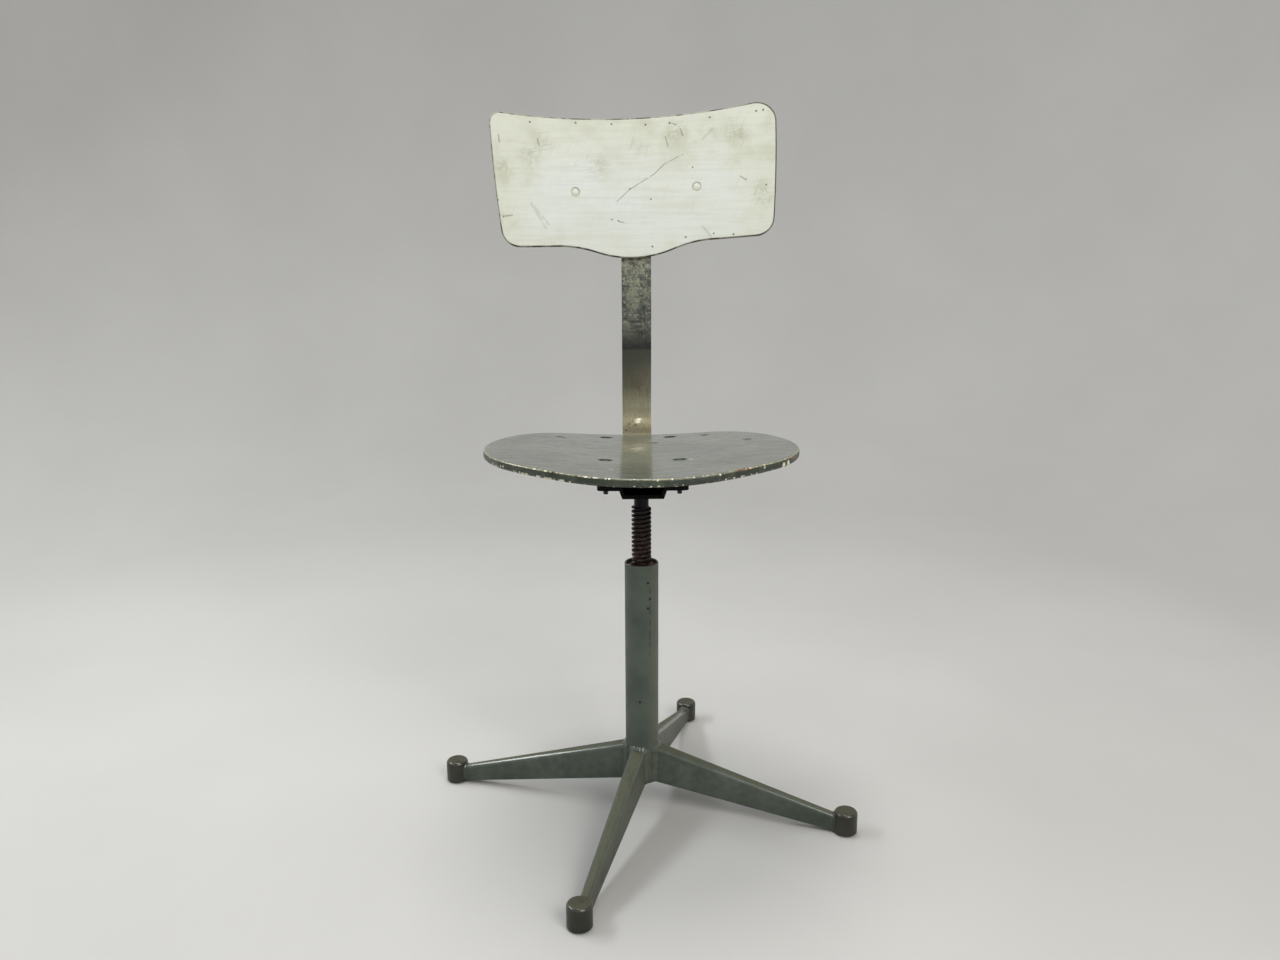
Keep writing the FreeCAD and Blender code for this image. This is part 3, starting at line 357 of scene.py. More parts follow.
class Finish:
    """A material in the making: its tree, its shader and the coordinates its effects use."""

    def __init__(self, name):
        self.material = bpy.data.materials.new(name)
        self.material.use_nodes = True
        self.tree = self.material.node_tree
        self.shader = self.tree.nodes["Principled BSDF"]
        self.place = put(self.tree, "ShaderNodeTexCoord").outputs["Object"]
        facing = put(self.tree, "ShaderNodeTexCoord").outputs["Normal"]
        self.facing = put(self.tree, "ShaderNodeSeparateXYZ", {0: facing}).outputs
        self.axes = put(self.tree, "ShaderNodeSeparateXYZ", {0: self.place}).outputs

    # Masks

    def mottle(self, scale, low, high, detail=4.0):
        """Clouds of a scale, none where the noise is at the low level and full at the high level."""
        return use_group(self.tree, MOTTLE, self.place,
                         Scale=scale, Low=low, High=high, Detail=detail)["Mask"]

    def chips(self, scale, share):
        return use_group(self.tree, CHIPS, self.place, Scale=scale, Share=share)["Mask"]

    def flecks(self, scale, share, size):
        return use_group(self.tree, FLECKS, self.place, Scale=scale, Share=share, Size=size)["Mask"]

    def streaks(self, along, low, high, place=None):
        """Streaks that are short along an axis with a high value and long along one with a low value."""
        return use_group(self.tree, STREAKS, place or self.place,
                         Along_X=along[0], Along_Y=along[1], Along_Z=along[2], Low=low, High=high)

    def spots(self, place, centres, size):
        """Round spots of one size, which is a radius and a soft rim."""
        radius, soft = size
        return self.most([use_group(self.tree, SPOT, place, Centre=centre, Radius=radius, Soft=soft)["Mask"]
                          for centre in centres])

    def scratches(self, place, lines, width):
        """Straight scratches of one width, each from a start to an end."""
        return self.most([use_group(self.tree, SCRATCH, place, Start=start, End=end, Width=width)["Mask"]
                          for start, end in lines])

    # Working with masks

    def grade(self, value, low, high, start=0.0, end=1.0):
        return grade(self.tree, value, low, high, start, end)

    def between(self, mask, start, end):
        """Value that goes from start where the mask is none to end where it is full."""
        return grade(self.tree, mask, 0.0, 1.0, start, end)

    def size_of(self, value):
        return calculate(self.tree, "ABSOLUTE", value)

    def less(self, first, second):
        """First minus second, not below none."""
        return calculate(self.tree, "SUBTRACT", first, second, True)

    def times(self, first, *others):
        result = first
        for other in others:
            result = calculate(self.tree, "MULTIPLY", result, other)
        return result

    def most(self, masks):
        result = masks[0]
        for mask in masks[1:]:
            result = calculate(self.tree, "MAXIMUM", result, mask)
        return result

    # Places

    def flat_place(self, axes):
        """Place with one axis left out, for marks that are laid on by two axes."""
        return vector(self.tree, "MULTIPLY", self.place, axes)[0]

    def turned(self, place, axis, degrees):
        """Place turned about an axis, so that streaks run at a slant."""
        node = put(self.tree, "ShaderNodeVectorRotate", {"Vector": place, "Angle": math.radians(degrees)},
                   rotation_type=axis + "_AXIS")
        return node.outputs[0]

    # Colours and the shader

    def blend(self, share, first, second):
        node = put(self.tree, "ShaderNodeMix", {0: share, 6: first, 7: second}, data_type="RGBA")
        return node.outputs[2]

    def ramp(self, value, stops):
        """Colour that runs through stops of value and colour."""
        low, high = stops[0][0], stops[-1][0]
        share = put(self.tree, "ShaderNodeMapRange",
                    {"Value": value, "From Min": low, "From Max": high}).outputs[0]
        node = put(self.tree, "ShaderNodeValToRGB", {"Fac": share})
        elements = node.color_ramp.elements
        while len(elements) < len(stops):
            elements.new(1.0)
        for element, (place, tone) in zip(elements, stops):
            element.position = (place - low) / (high - low)
            element.color = srgb(*tone)
        return node.outputs["Color"]

    def colour(self, base, *layers):
        """Base colour with layers over it. A layer has its mask, how much it covers, and its colour."""
        result = base
        for mask, cover, over in layers:
            result = self.blend(self.times(mask, cover), result, over)
        self.drive("Base Color", result)

    def drive(self, socket, value):
        """Link a value that changes over the surface to one of the shader's inputs."""
        self.tree.links.new(value, self.shader.inputs[socket])

    def fix(self, socket, value):
        """Set one of the shader's inputs for the whole surface."""
        self.shader.inputs[socket].default_value = value

    def bump(self, height, strength, distance, below=None):
        inputs = {"Height": height, "Strength": strength, "Distance": distance}
        if below:
            inputs["Normal"] = below
        return put(self.tree, "ShaderNodeBump", inputs).outputs[0]

    def sunk(self, mask, strength, distance, below=None):
        """Bump that is pressed in where the mask is."""
        return self.bump(calculate(self.tree, "SUBTRACT", 1.0, mask), strength, distance, below)


def painted_steel(name, shade, light, chip, chip_share, rough=0.34, coat=0.25, specular=0.5, dust=None,
                  painted_warm_light=None, scuffed=None, grimy=None, marks=None):
    """Satin paint on steel with a light orange peel and small chips.

    It can have dust on its upper faces, warm light painted on the side that faces +X, scuffs and grime near
    the floor, and marks."""
    finish = Finish(name)
    tone = finish.mottle(18.0, 0.35, 0.68)
    haze = finish.mottle(60.0, 0.5, 0.75)
    fine_share = chip_share + 0.04
    hazy_rough = rough + 0.14
    flakes = [finish.chips(170.0, chip_share), finish.chips(520.0, fine_share)]
    if marks:
        flakes.append(marks(finish))
    bare = finish.most(flakes)
    worn = finish.between(haze, rough, hazy_rough)
    finish.fix("Coat Weight", coat)
    layers = []
    # Warm light painted on the side that faces +X
    if painted_warm_light:
        warm_lit_side = finish.grade(finish.facing[0], 0.1, 0.9)
        layers.append((finish.times(warm_lit_side, finish.mottle(30.0, 0.1, 0.6)), 0.55, painted_warm_light))
    if scuffed:
        low = finish.grade(finish.axes[2], *SCUFFED_LEVELS)
        layers.append((finish.times(low, finish.mottle(130.0, 0.25, 0.65, 8.0)), 0.24, scuffed))
    if grimy:
        lowest = finish.grade(finish.axes[2], *GRIMY_LEVELS)
        layers.append((finish.times(lowest, finish.mottle(60.0, 0.15, 0.5)), 0.42, grimy))
    if dust:
        upward = finish.facing[2]
        settled = finish.times(finish.grade(upward, 0.84, 0.95), finish.mottle(90.0, 0.15, 0.6))
        grit = finish.times(settled, finish.mottle(480.0, 0.5, 0.68))
        layers += [(settled, 0.85, dust), (grit, 0.45, shade)]
        worn = finish.most([worn, finish.times(settled, 0.8)])
        rubbed = finish.times(finish.grade(upward, 0.2, 0.45), finish.grade(upward, 0.95, 0.86))
        finish.drive("Coat Weight", finish.times(rubbed, coat))
    finish.colour(finish.blend(tone, shade, light), *layers, (bare, 1.0, chip))
    finish.drive("Roughness", finish.most([worn, finish.times(bare, 0.7)]))
    peel = finish.bump(finish.mottle(420.0, 0.3, 0.7, 2.0), 0.12, 0.0004)
    finish.drive("Normal", finish.sunk(bare, 0.5, 0.0003, peel))
    finish.fix("Coat Roughness", 0.12)
    finish.fix("Specular IOR Level", specular)
    return finish.material


def column_marks(finish):
    """Chips in a line down the front of the column and a few single ones."""
    line = finish.scratches(finish.place, [COLUMN_SCRATCH], COLUMN_SCRATCH_WIDTH)
    broken = finish.times(line, finish.mottle(260.0, 0.44, 0.56), 0.55)
    return finish.most([broken, finish.spots(finish.place, COLUMN_CHIPS, COLUMN_CHIP_SIZE)])


def bolt_ends(finish):
    """The ends of the seat bolts below the bracket, black like it."""
    return finish.grade(finish.axes[2], *BOLT_END_LEVELS)


def plain_steel(name, dark, light, rough):
    """Bare steel with tarnish clouds and a little rust."""
    finish = Finish(name)
    tone = finish.mottle(70.0, 0.35, 0.65)
    dull_rough = rough + 0.12
    rusty = finish.chips(160.0, 0.2)
    finish.colour(finish.blend(tone, dark, light), (rusty, 1.0, srgb(74, 50, 34)))
    finish.drive("Roughness", finish.between(tone, dull_rough, rough))
    finish.fix("Metallic", 0.85)
    finish.drive("Normal", finish.bump(finish.mottle(600.0, 0.3, 0.7), 0.15, 0.0002))
    return finish.material


def spindle_finish():
    """Dark oily steel, rusty low in the thread and black on the plain neck."""
    finish = Finish("spindle_steel")
    level = finish.axes[2]
    radius = vector(finish.tree, "LENGTH", finish.flat_place((1.0, 1.0, 0.0)))["Value"]
    crest = finish.grade(radius, THREAD_GROOVE_RADIUS, THREAD_CREST_RADIUS)
    grime = finish.mottle(140.0, 0.4, 0.6)
    rust = finish.times(finish.grade(level, *SPINDLE_RUST_LEVELS), finish.mottle(200.0, 0.42, 0.62))
    neck = finish.grade(level, *SPINDLE_NECK_LEVELS)
    groove = finish.blend(grime, srgb(25, 20, 19), srgb(38, 30, 28))
    finish.colour(groove,
                  (crest, 1.0, srgb(33, 28, 28)),
                  (rust, 1.0, srgb(74, 54, 46)),
                  (neck, 1.0, srgb(5, 8, 11)))
    finish.drive("Roughness", finish.between(grime, 0.34, 0.55))
    finish.fix("Metallic", 0.2)
    finish.fix("Specular IOR Level", 0.2)
    finish.drive("Normal", finish.bump(grime, 0.2, 0.0002))
    return finish.material


def bronze_finish():
    """Tarnished bronze with dark grime."""
    finish = Finish("bronze")
    tone = finish.mottle(150.0, 0.35, 0.65)
    grime = finish.mottle(60.0, 0.45, 0.7)
    metal = finish.blend(tone, srgb(72, 50, 34), srgb(118, 84, 54))
    finish.colour(metal, (grime, 1.0, srgb(36, 27, 21)))
    finish.drive("Roughness", finish.between(grime, 0.38, 0.7))
    finish.fix("Metallic", 0.8)
    finish.drive("Normal", finish.bump(tone, 0.2, 0.0002))
    return finish.material


def rubber_finish():
    """Black rubber with pale scuffs."""
    finish = Finish("glide_rubber")
    scuff = finish.mottle(180.0, 0.4, 0.7)
    finish.colour(finish.blend(scuff, srgb(22, 22, 21), srgb(50, 48, 45)))
    finish.drive("Roughness", finish.between(scuff, 0.7, 0.9))
    finish.drive("Normal", finish.bump(finish.mottle(700.0, 0.3, 0.7), 0.3, 0.0002))
    return finish.material


def packing_finish():
    """Dark stained wood with its grain from front to back."""
    finish = Finish("packing_wood")
    grain = finish.streaks((600.0, 25.0, 600.0), 0.35, 0.65)
    finish.colour(finish.blend(grain["Mask"], srgb(38, 30, 23), srgb(74, 60, 46)))
    finish.drive("Roughness", finish.between(grain["Mask"], 0.8, 0.6))
    finish.drive("Normal", finish.bump(grain["Height"], 0.3, 0.0004))
    return finish.material


def seat_lost_paint(finish, plan, top, corners, front_half):
    """Cream undercoat where the paint is gone: flakes at the edge's corners and single chips."""
    cluster = finish.mottle(38.0, 0.45, 0.62, 1.0)
    share = finish.times(finish.between(cluster, 0.17, 0.44), finish.between(front_half, 0.4, 1.0))
    flakes = finish.most([finish.flecks(scale, share, 0.47) for scale in (260.0, 520.0)])
    dashes = finish.scratches(finish.place, [SEAT_LOW_DASHES], LOW_DASH_WIDTH)
    top_chips = finish.spots(plan, on_plan(SEAT_TOP_CHIPS), TOP_CHIP_SIZE)
    return finish.most([finish.times(corners, flakes),
                        finish.times(dashes, finish.mottle(240.0, 0.46, 0.56)),
                        finish.times(top_chips, finish.mottle(480.0, 0.42, 0.5), top),
                        finish.spots(finish.place, SEAT_EDGE_CHIPS, EDGE_CHIP_SIZE),
                        finish.spots(finish.place, SEAT_LARGE_CHIPS, LARGE_CHIP_SIZE)])


def seat_worn_corner(finish, upper_corner, front_half):
    """Patches rubbed pale along the front of the upper corner, most at both ends."""
    patchy = finish.times(finish.mottle(45.0, 0.3, 0.6), finish.mottle(210.0, 0.38, 0.55))
    ends = finish.grade(finish.size_of(finish.axes[0]), *SEAT_WORN_ENDS)
    worn_ends = finish.times(ends, finish.mottle(210.0, 0.3, 0.46))
    return finish.times(upper_corner, front_half, finish.most([patchy, worn_ends]))


def seat_hollows(finish, plan, top):
    """Dents in the top and the sunk rings about the bolts, darkened on the seat as painted shade."""
    dents = finish.times(finish.spots(plan, on_plan(SEAT_DENTS), DENT_SIZE), finish.mottle(230.0, 0.3, 0.5))
    rings = finish.spots(plan, on_plan(SEAT_BOLTS), BOLT_RING_SIZE)
    return finish.times(finish.most([dents, rings]), top)


def seat_finish():
    """Glossy grey-green paint over plywood: the grain shows through, and the edge is dark and chipped.
    Painted shade darkens the underside, the dents, the bolt rings and a notch.
    """
    finish = Finish("seat_paint")
    plan = finish.flat_place((1.0, 1.0, 0.0))
    grain = finish.streaks((30.0, 300.0, 300.0), 0.36, 0.66)
    cloud = finish.mottle(11.0, 0.35, 0.68)
    fine = finish.mottle(120.0, 0.35, 0.7)
    rubbed_way = finish.turned(plan, "Z", SEAT_RUB_SLANT)
    rubbed = finish.streaks((16.0, 560.0, 1.0), 0.48, 0.64, rubbed_way)["Mask"]

    upward = finish.facing[2]
    top = finish.grade(upward, 0.8, 0.9)
    # Underside mask; the underside is painted dark as shade
    below = finish.grade(upward, -0.5, -0.8)
    rim = finish.grade(finish.size_of(upward), 0.86, 0.45)
    upper_corner = finish.times(finish.grade(upward, 0.985, 0.9), finish.grade(upward, 0.35, 0.6))
    lower_corner = finish.times(finish.grade(upward, -0.02, -0.12), finish.grade(upward, -0.98, -0.9))
    front_half = finish.grade(finish.axes[1], *SEAT_FRONT_HALF)

    paint = finish.blend(cloud, srgb(70, 76, 68), srgb(96, 102, 93))
    edge_paint = finish.blend(finish.mottle(90.0, 0.4, 0.65), srgb(40, 48, 39), srgb(60, 68, 56))
    edge_scuffs = finish.times(rim, finish.streaks((150.0, 150.0, 900.0), 0.52, 0.66)["Mask"])
    worn_corner = seat_worn_corner(finish, upper_corner, front_half)
    # Dents and bolt rings, darkened as painted shade in the hollows
    hollows = seat_hollows(finish, plan, top)
    bare_wood = finish.times(finish.scratches(finish.place, SEAT_BARE_WOOD, BARE_WOOD_WIDTH),
                             finish.mottle(300.0, 0.3, 0.45))
    cream = seat_lost_paint(finish, plan, top, finish.most([upper_corner, lower_corner]), front_half)
    # Notch, painted near black as shade
    notch = finish.spots(finish.place, [SEAT_NOTCH], NOTCH_SIZE)
    finish.colour(paint,
                  (grain["Mask"], 0.2, srgb(108, 113, 104)),
                  (rubbed, 0.16, srgb(130, 134, 124)),
                  (fine, 0.24, srgb(48, 54, 47)),
                  (rim, 1.0, edge_paint),
                  (edge_scuffs, 0.35, srgb(96, 102, 88)),
                  (below, 1.0, srgb(30, 30, 26)),
                  (worn_corner, 0.8, srgb(146, 145, 112)),
                  (hollows, 0.7, srgb(48, 52, 46)),
                  (bare_wood, 0.85, srgb(126, 82, 64)),
                  (cream, 1.0, srgb(216, 211, 188)),
                  (notch, 1.0, srgb(22, 24, 19)))

    smooth = finish.between(finish.most([grain["Mask"], rubbed]), 0.2, 0.36)
    dull = [finish.times(rim, 0.4), finish.times(below, 0.75), finish.times(hollows, 0.65)]
    finish.drive("Roughness", finish.most([smooth] + dull))
    gloss = finish.between(finish.most([finish.times(grain["Mask"], 0.7), rubbed]), 0.95, 0.5)
    finish.drive("Coat Weight", finish.times(top, finish.less(gloss, hollows)))
    finish.fix("Coat Roughness", 0.1)
    waves = finish.bump(finish.mottle(55.0, 0.2, 0.8, 1.0), 0.12, 0.0004)
    ripple = finish.bump(grain["Height"], 0.07, 0.0006, waves)
    dimpled = finish.sunk(hollows, 0.8, 0.0007, ripple)
    finish.drive("Normal", finish.sunk(cream, 0.6, 0.0005, dimpled))
    return finish.material


def strip_finish():
    """Dull polished steel, mottled above and smooth low down, with painted reflections by height: a dark
    band, then the seat and a lamp's yellow glow towards the bend.
    """
    finish = Finish("strip_steel")
    level = finish.axes[2]
    most_in_front = finish.grade(finish.facing[1], 0.3, -0.3, 0.45, 1.0)
    upper = finish.times(most_in_front, finish.grade(level, *STRIP_UPPER_LEVELS))
    lower = finish.grade(level, *STRIP_LOWER_LEVELS)
    # Band of painted reflection of the dark room in front
    band = finish.times(finish.grade(level, *STRIP_DARK_REFLECTION_FOOT), finish.grade(level, *STRIP_DARK_REFLECTION_HEAD))

    patches = finish.times(upper, finish.mottle(55.0, 0.38, 0.62, 8.0))
    smears = finish.times(upper, finish.mottle(130.0, 0.44, 0.6, 8.0))
    scored_ways = ((40.0, 40.0, 700.0), (520.0, 520.0, 36.0))
    lines = finish.most([finish.streaks(along, 0.52, 0.66)["Mask"] for along in scored_ways])
    scored = finish.times(upper, lines)
    fine = finish.times(upper, finish.mottle(420.0, 0.42, 0.62, 6.0))
    pale = finish.times(upper, finish.mottle(300.0, 0.54, 0.68, 6.0))
    # Light ripples in the band: painted reflection of the seat's chipped rim
    rim_reflection_ripples = finish.times(band, finish.mottle(150.0, 0.46, 0.6))
    wiped = finish.times(lower, finish.streaks((420.0, 420.0, 24.0), 0.46, 0.66)["Mask"])
    grit = finish.times(lower, finish.mottle(520.0, 0.48, 0.64))
    # Brown patches low on the strip: painted reflection of the seat's red-brown worn place
    stains_and_reflections = finish.spots(finish.place, STRIP_BROWN_REFLECTIONS, STRIP_BROWN_REFLECTION_SIZE)
    brown = finish.times(stains_and_reflections, finish.mottle(170.0, 0.36, 0.62))
    blots = finish.spots(finish.place, STRIP_DIRT, STRIP_DIRT_SIZE)
    dirt = finish.most([finish.times(blots, finish.mottle(420.0, 0.36, 0.52)), finish.chips(300.0, 0.06)])
    # The ramp paints the strip's reflections by height
    finish.colour(finish.ramp(level, STRIP_REFLECTION_TONES),
                  (patches, 0.6, srgb(160, 163, 142)),
                  (smears, 0.75, srgb(44, 53, 54)),
                  (scored, 0.4, srgb(162, 164, 148)),
                  (fine, 0.45, srgb(38, 42, 40)),
                  (pale, 0.5, srgb(190, 192, 170)),
                  (rim_reflection_ripples, 0.35, srgb(56, 58, 54)),
                  (wiped, 0.25, srgb(58, 58, 48)),
                  (grit, 0.25, srgb(64, 58, 44)),
                  (brown, 0.55, srgb(100, 72, 48)),
                  (dirt, 0.8, srgb(34, 30, 24)))
    finish.drive("Roughness", finish.between(fine, 0.3, 0.42))
    finish.fix("Metallic", 0.6)
    finish.fix("Coat Weight", 0.8)
    finish.fix("Coat Roughness", 0.035)
    finish.drive("Normal", finish.bump(patches, 0.08, 0.0003))
    return finish.material


def backrest_stains(finish, face):
    """Streaky brown staining."""
    stained = finish.spots(face, on_face(BACK_STAINS), BACK_STAIN_SIZE)
    lines_way = finish.turned(face, "Y", BACK_STAIN_SLANT)
    lines = finish.streaks((60.0, 1.0, 420.0), 0.42, 0.62, lines_way)["Mask"]
    blotches = finish.mottle(210.0, 0.42, 0.64, 8.0)
    return finish.times(stained, finish.most([finish.times(lines, 0.7), blotches]))


def backrest_scuffs(finish, face):
    """Hairlines at two slants, faint everywhere and stronger at the scuffs."""
    slanted = [finish.turned(face, "Y", slant) for slant in HAIRLINE_SLANTS]
    hairlines = finish.most([finish.streaks((26.0, 1.0, 620.0), 0.55, 0.68, way)["Mask"] for way in slanted])
    scuffed = finish.spots(face, on_face(SCUFFS), SCUFF_SIZE)
    return finish.times(hairlines, finish.between(scuffed, 0.08, 0.3))


def backrest_scratches(finish, face):
    """One long scratch, short ones and soft ones, all a little broken."""
    stretches = [on_face(ends) for ends in zip(LONG_SCRATCH, LONG_SCRATCH[1:])]
    short = [on_face(ends) for ends in SHORT_SCRATCHES]
    soft = [on_face(ends) for ends in SOFT_SCRATCHES]
    scratched = finish.most([finish.scratches(face, stretches, LONG_SCRATCH_WIDTH),
                             finish.scratches(face, short, SHORT_SCRATCH_WIDTH),
                             finish.times(finish.scratches(face, soft, SOFT_SCRATCH_WIDTH), 0.35)])
    return finish.times(scratched, finish.mottle(180.0, 0.3, 0.5))


def backrest_finish():
    """Cream paint, yellower towards the edges, with scratches, tack holes darkened as painted shade, and a
    dark edge that is partly worn ply and partly painted shade.
    """
    finish = Finish("backrest_paint")
    face = finish.flat_place((1.0, 0.0, 1.0))
    grain = finish.streaks((14.0, 14.0, 260.0), 0.4, 0.68)
    cloud = finish.mottle(13.0, 0.36, 0.66)
    middle = finish.spots(face, on_face(BACK_CLEAN_MIDDLE), BACK_CLEAN_SIZE)
    smudge = finish.times(finish.mottle(34.0, 0.45, 0.7, 6.0), finish.between(middle, 0.5, 0.12))

    front = finish.grade(finish.facing[1], -0.5, -0.9)
    not_the_back = finish.grade(finish.facing[1], 0.85, 0.6)
    up_or_down = finish.grade(finish.size_of(finish.facing[2]), 0.12, 0.4)
    outward = finish.grade(finish.times(finish.facing[0], finish.axes[0]), 0.0, 0.04)
    # Edge mask. Its dark colour is partly worn ply and partly painted shade: on the lower edge and as a
    # shadow gap in the bolt pockets
    rim = finish.times(finish.most([up_or_down, outward]), not_the_back)

    stains_and_reflections = finish.times(backrest_stains(finish, face), front)
    scuffs = finish.times(backrest_scuffs(finish, face), front)
    scratched = finish.times(backrest_scratches(finish, face), front)
    # Tack holes and nicks, darkened as painted shade in them
    holes = finish.times(finish.most([finish.spots(face, on_face(TACK_HOLES), TACK_HOLE_SIZE),
                                      finish.spots(face, on_face(NICKS), NICK_SIZE)]), front)
    worn_side = finish.grade(finish.axes[0], *BACK_WORN_SIDE)
    # Dark worn ply on the edge, which also paints shade on the lower edge and in the bolt pockets
    worn = finish.times(rim, finish.most([finish.mottle(70.0, 0.46, 0.6), finish.times(worn_side, 0.85)]))
    finish.colour(finish.blend(middle, srgb(215, 219, 208), srgb(221, 227, 226)),
                  (cloud, 0.4, srgb(221, 224, 212)),
                  (grain["Mask"], 0.22, srgb(190, 192, 172)),
                  (smudge, 1.0, srgb(190, 192, 170)),
                  (stains_and_reflections, 0.42, srgb(160, 162, 136)),
                  (scuffs, 1.0, srgb(150, 150, 128)),
                  (scratched, 0.6, srgb(112, 110, 92)),
                  (rim, 0.7, srgb(104, 98, 74)),
                  (worn, 1.0, srgb(58, 49, 38)),
                  (holes, 0.85, srgb(58, 54, 44)))
    finish.drive("Roughness", finish.between(cloud, 0.5, 0.6))
    ripple = finish.bump(grain["Height"], 0.06, 0.0006)
    finish.drive("Normal", finish.sunk(finish.most([worn, holes]), 0.4, 0.0004, ripple))
    return finish.material


def floor_finish():
    """Plain pale floor with hardly any clouding."""
    finish = Finish("pale_floor")
    finish.colour(finish.blend(finish.mottle(2.5, 0.3, 0.7), srgb(194, 194, 193), srgb(198, 198, 197)))
    finish.fix("Roughness", 0.9)
    return finish.material


# Added pieces

def mesh_object(name, verts, faces):
    mesh = bpy.data.meshes.new(name)
    mesh.from_pydata(verts, [], faces)
    mesh.validate()
    mesh.shade_smooth()
    piece = bpy.data.objects.new(name, mesh)
    scene.collection.objects.link(piece)
    return piece


def leg_outline(width, bottom, top):
    """Points up one side of a leg's section, over its rounded top and down the other side.

    Each point has its place across and up, and the way out of the leg there."""
    half = width / 2
    inner = half - LEG_EDGE_RADIUS
    corner_level = top - LEG_EDGE_RADIUS
    points = []
    for step in range(WELD_SIDE_STEPS):
        points.append((-half, bottom + (corner_level - bottom) * step / WELD_SIDE_STEPS, -1.0, 0.0))
    for step in range(WELD_CORNER_STEPS):
        turn = math.pi - math.pi / 2 * step / (WELD_CORNER_STEPS - 1)
        out_across = math.cos(turn)
        out_up = math.sin(turn)
        points.append((-inner + LEG_EDGE_RADIUS * out_across, corner_level + LEG_EDGE_RADIUS * out_up,
                       out_across, out_up))
    for step in range(1, WELD_TOP_STEPS):
        points.append((-inner * (1 - step / WELD_TOP_STEPS), top, 0.0, 1.0))
    other_side = [(-across, level, -out_across, out_up)
                  for across, level, out_across, out_up in reversed(points)]
    return points + [(0.0, top, 0.0, 1.0)] + other_side


def weld_profile(point, share_up, size, centre_reach, radius, outward):
    """Section of a fillet weld at one point of a leg's outline.

    It runs from the sunk corner by the foot on the leg and the crown to the foot on the wall."""
    across, level, out_across, out_up = point

    def on_wall(away, proud):
        place = across + away * out_across
        reach = centre_reach + outward * (math.sqrt(radius ** 2 - place ** 2) + proud)
        return Vector((reach, place, level + away * out_up))

    fall = LEG_BOTTOM_FALL + (LEG_TOP_FALL - LEG_BOTTOM_FALL) * share_up
    foot_on_leg = on_wall(-WELD_SINK, size) - Vector((0.0, 0.0, outward * fall * size))
    foot_on_wall = on_wall(size, -WELD_SINK)
    crown_way = Vector((outward, out_across, out_up)).normalized()
    profile = [on_wall(-WELD_SINK, -WELD_SINK), foot_on_leg]
    for share in WELD_CROWN_SHARES:
        crown = crown_way * (WELD_CROWN * size * math.sin(math.pi * share))
        profile.append(foot_on_leg.lerp(foot_on_wall, share) + crown)
    return profile + [foot_on_wall]


def weld_mesh(outline, size, turn, centre_reach, radius, outward):
    """Vertices and faces of a closed fillet weld between a leg and a round upright wall.

    The weld is uneven along its length."""
    spin = Matrix.Rotation(math.radians(turn), 3, "Z")
    low = outline[0][1]
    height = max(level for across, level, out_across, out_up in outline) - low
    verts = []
    for place, point in enumerate(outline):
        uneven = size * (1 + WELD_RIPPLE * math.sin(place * WELD_RIPPLE_STEP))
        profile = weld_profile(point, (point[1] - low) / height, uneven, centre_reach, radius, outward)
        verts += [spin @ corner for corner in profile]
    sides = len(verts) // len(outline)
    faces = []
    for place in range(len(outline) - 1):
        for corner in range(sides):
            after = (corner + 1) % sides
            faces.append((place * sides + corner, place * sides + after,
                          (place + 1) * sides + after, (place + 1) * sides + corner))
    last = (len(outline) - 1) * sides
    faces.append(tuple(reversed(range(sides))))
    faces.append(tuple(last + corner for corner in range(sides)))
    return verts, faces


def face_outward(piece):
    """Turn all faces of a closed mesh outward."""
    mesh = bmesh.new()
    mesh.from_mesh(piece.data)
    bmesh.ops.recalc_face_normals(mesh, faces=mesh.faces)
    mesh.to_mesh(piece.data)
    mesh.free()


def make_welds(material):
    """Fillet welds of each leg, at the column and at its foot."""
    hub = leg_outline(LEG_HUB_WIDTH, COLUMN_BOTTOM + HUB_WELD_LIFT, COLUMN_BOTTOM + LEG_HUB_HEIGHT)
    tip = leg_outline(LEG_TIP_WIDTH, LEG_TIP_BOTTOM + FOOT_WELD_LIFT, LEG_TIP_BOTTOM + LEG_TIP_HEIGHT)
    for name, turn in zip(LEGS, LEG_TURNS):
        welds = {"hub": weld_mesh(hub, HUB_WELD_SIZE, turn, 0.0, COLUMN_RADIUS, 1),
                 "foot": weld_mesh(tip, FOOT_WELD_SIZE, turn, FOOT_CIRCLE_RADIUS, FOOT_RADIUS, -1)}
        for place, shape in welds.items():
            weld = mesh_object("weld_" + place + "_" + name, *shape)
            face_outward(weld)
            weld.data.materials.append(material)
            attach(weld, "base")


# Finishes on the solids

def dress(material, *names):
    for name in names:
        slots = nodes[name].data.materials
        slots.clear()
        slots.append(material)


# The frame gets warm light painted on its side that faces +X
frame_paint = painted_steel(
    "frame_paint", shade=srgb(64, 73, 67), light=srgb(80, 89, 81), chip=srgb(26, 25, 23), chip_share=0.03,
    rough=0.44, coat=1.0, specular=0.28, dust=srgb(97, 100, 81), painted_warm_light=srgb(100, 101, 87),
    scuffed=srgb(110, 116, 104), grimy=srgb(44, 49, 43), marks=column_marks)
# Darker copy of the frame's grey-green paint for the feet: painted shade, as their sides sit in shadow
foot_paint = painted_steel(
    "foot_paint", shade=srgb(38, 39, 33), light=srgb(56, 56, 48), chip=srgb(24, 20, 16), chip_share=0.06,
    rough=0.38, coat=1.0, specular=0.35, dust=srgb(82, 81, 65))
seat_bolt_paint = painted_steel(
    "seat_bolt_paint", shade=srgb(50, 53, 47), light=srgb(64, 67, 60), chip=srgb(8, 8, 9), chip_share=0.06,
    marks=bolt_ends)
bracket_paint = painted_steel(
    "bracket_paint", shade=srgb(3, 3, 4), light=srgb(6, 6, 8), chip=srgb(20, 17, 15), chip_share=0.0,
    rough=0.55, coat=0.0, specular=0.1)
backrest_bolt_paint = painted_steel(
    "backrest_bolt_paint", shade=srgb(212, 216, 203), light=srgb(221, 225, 215), chip=srgb(120, 112, 90),
    chip_share=0.06, rough=0.5, coat=0.0, specular=0.4)
dull_steel = plain_steel("steel", dark=srgb(70, 68, 64), light=srgb(112, 110, 104), rough=0.4)
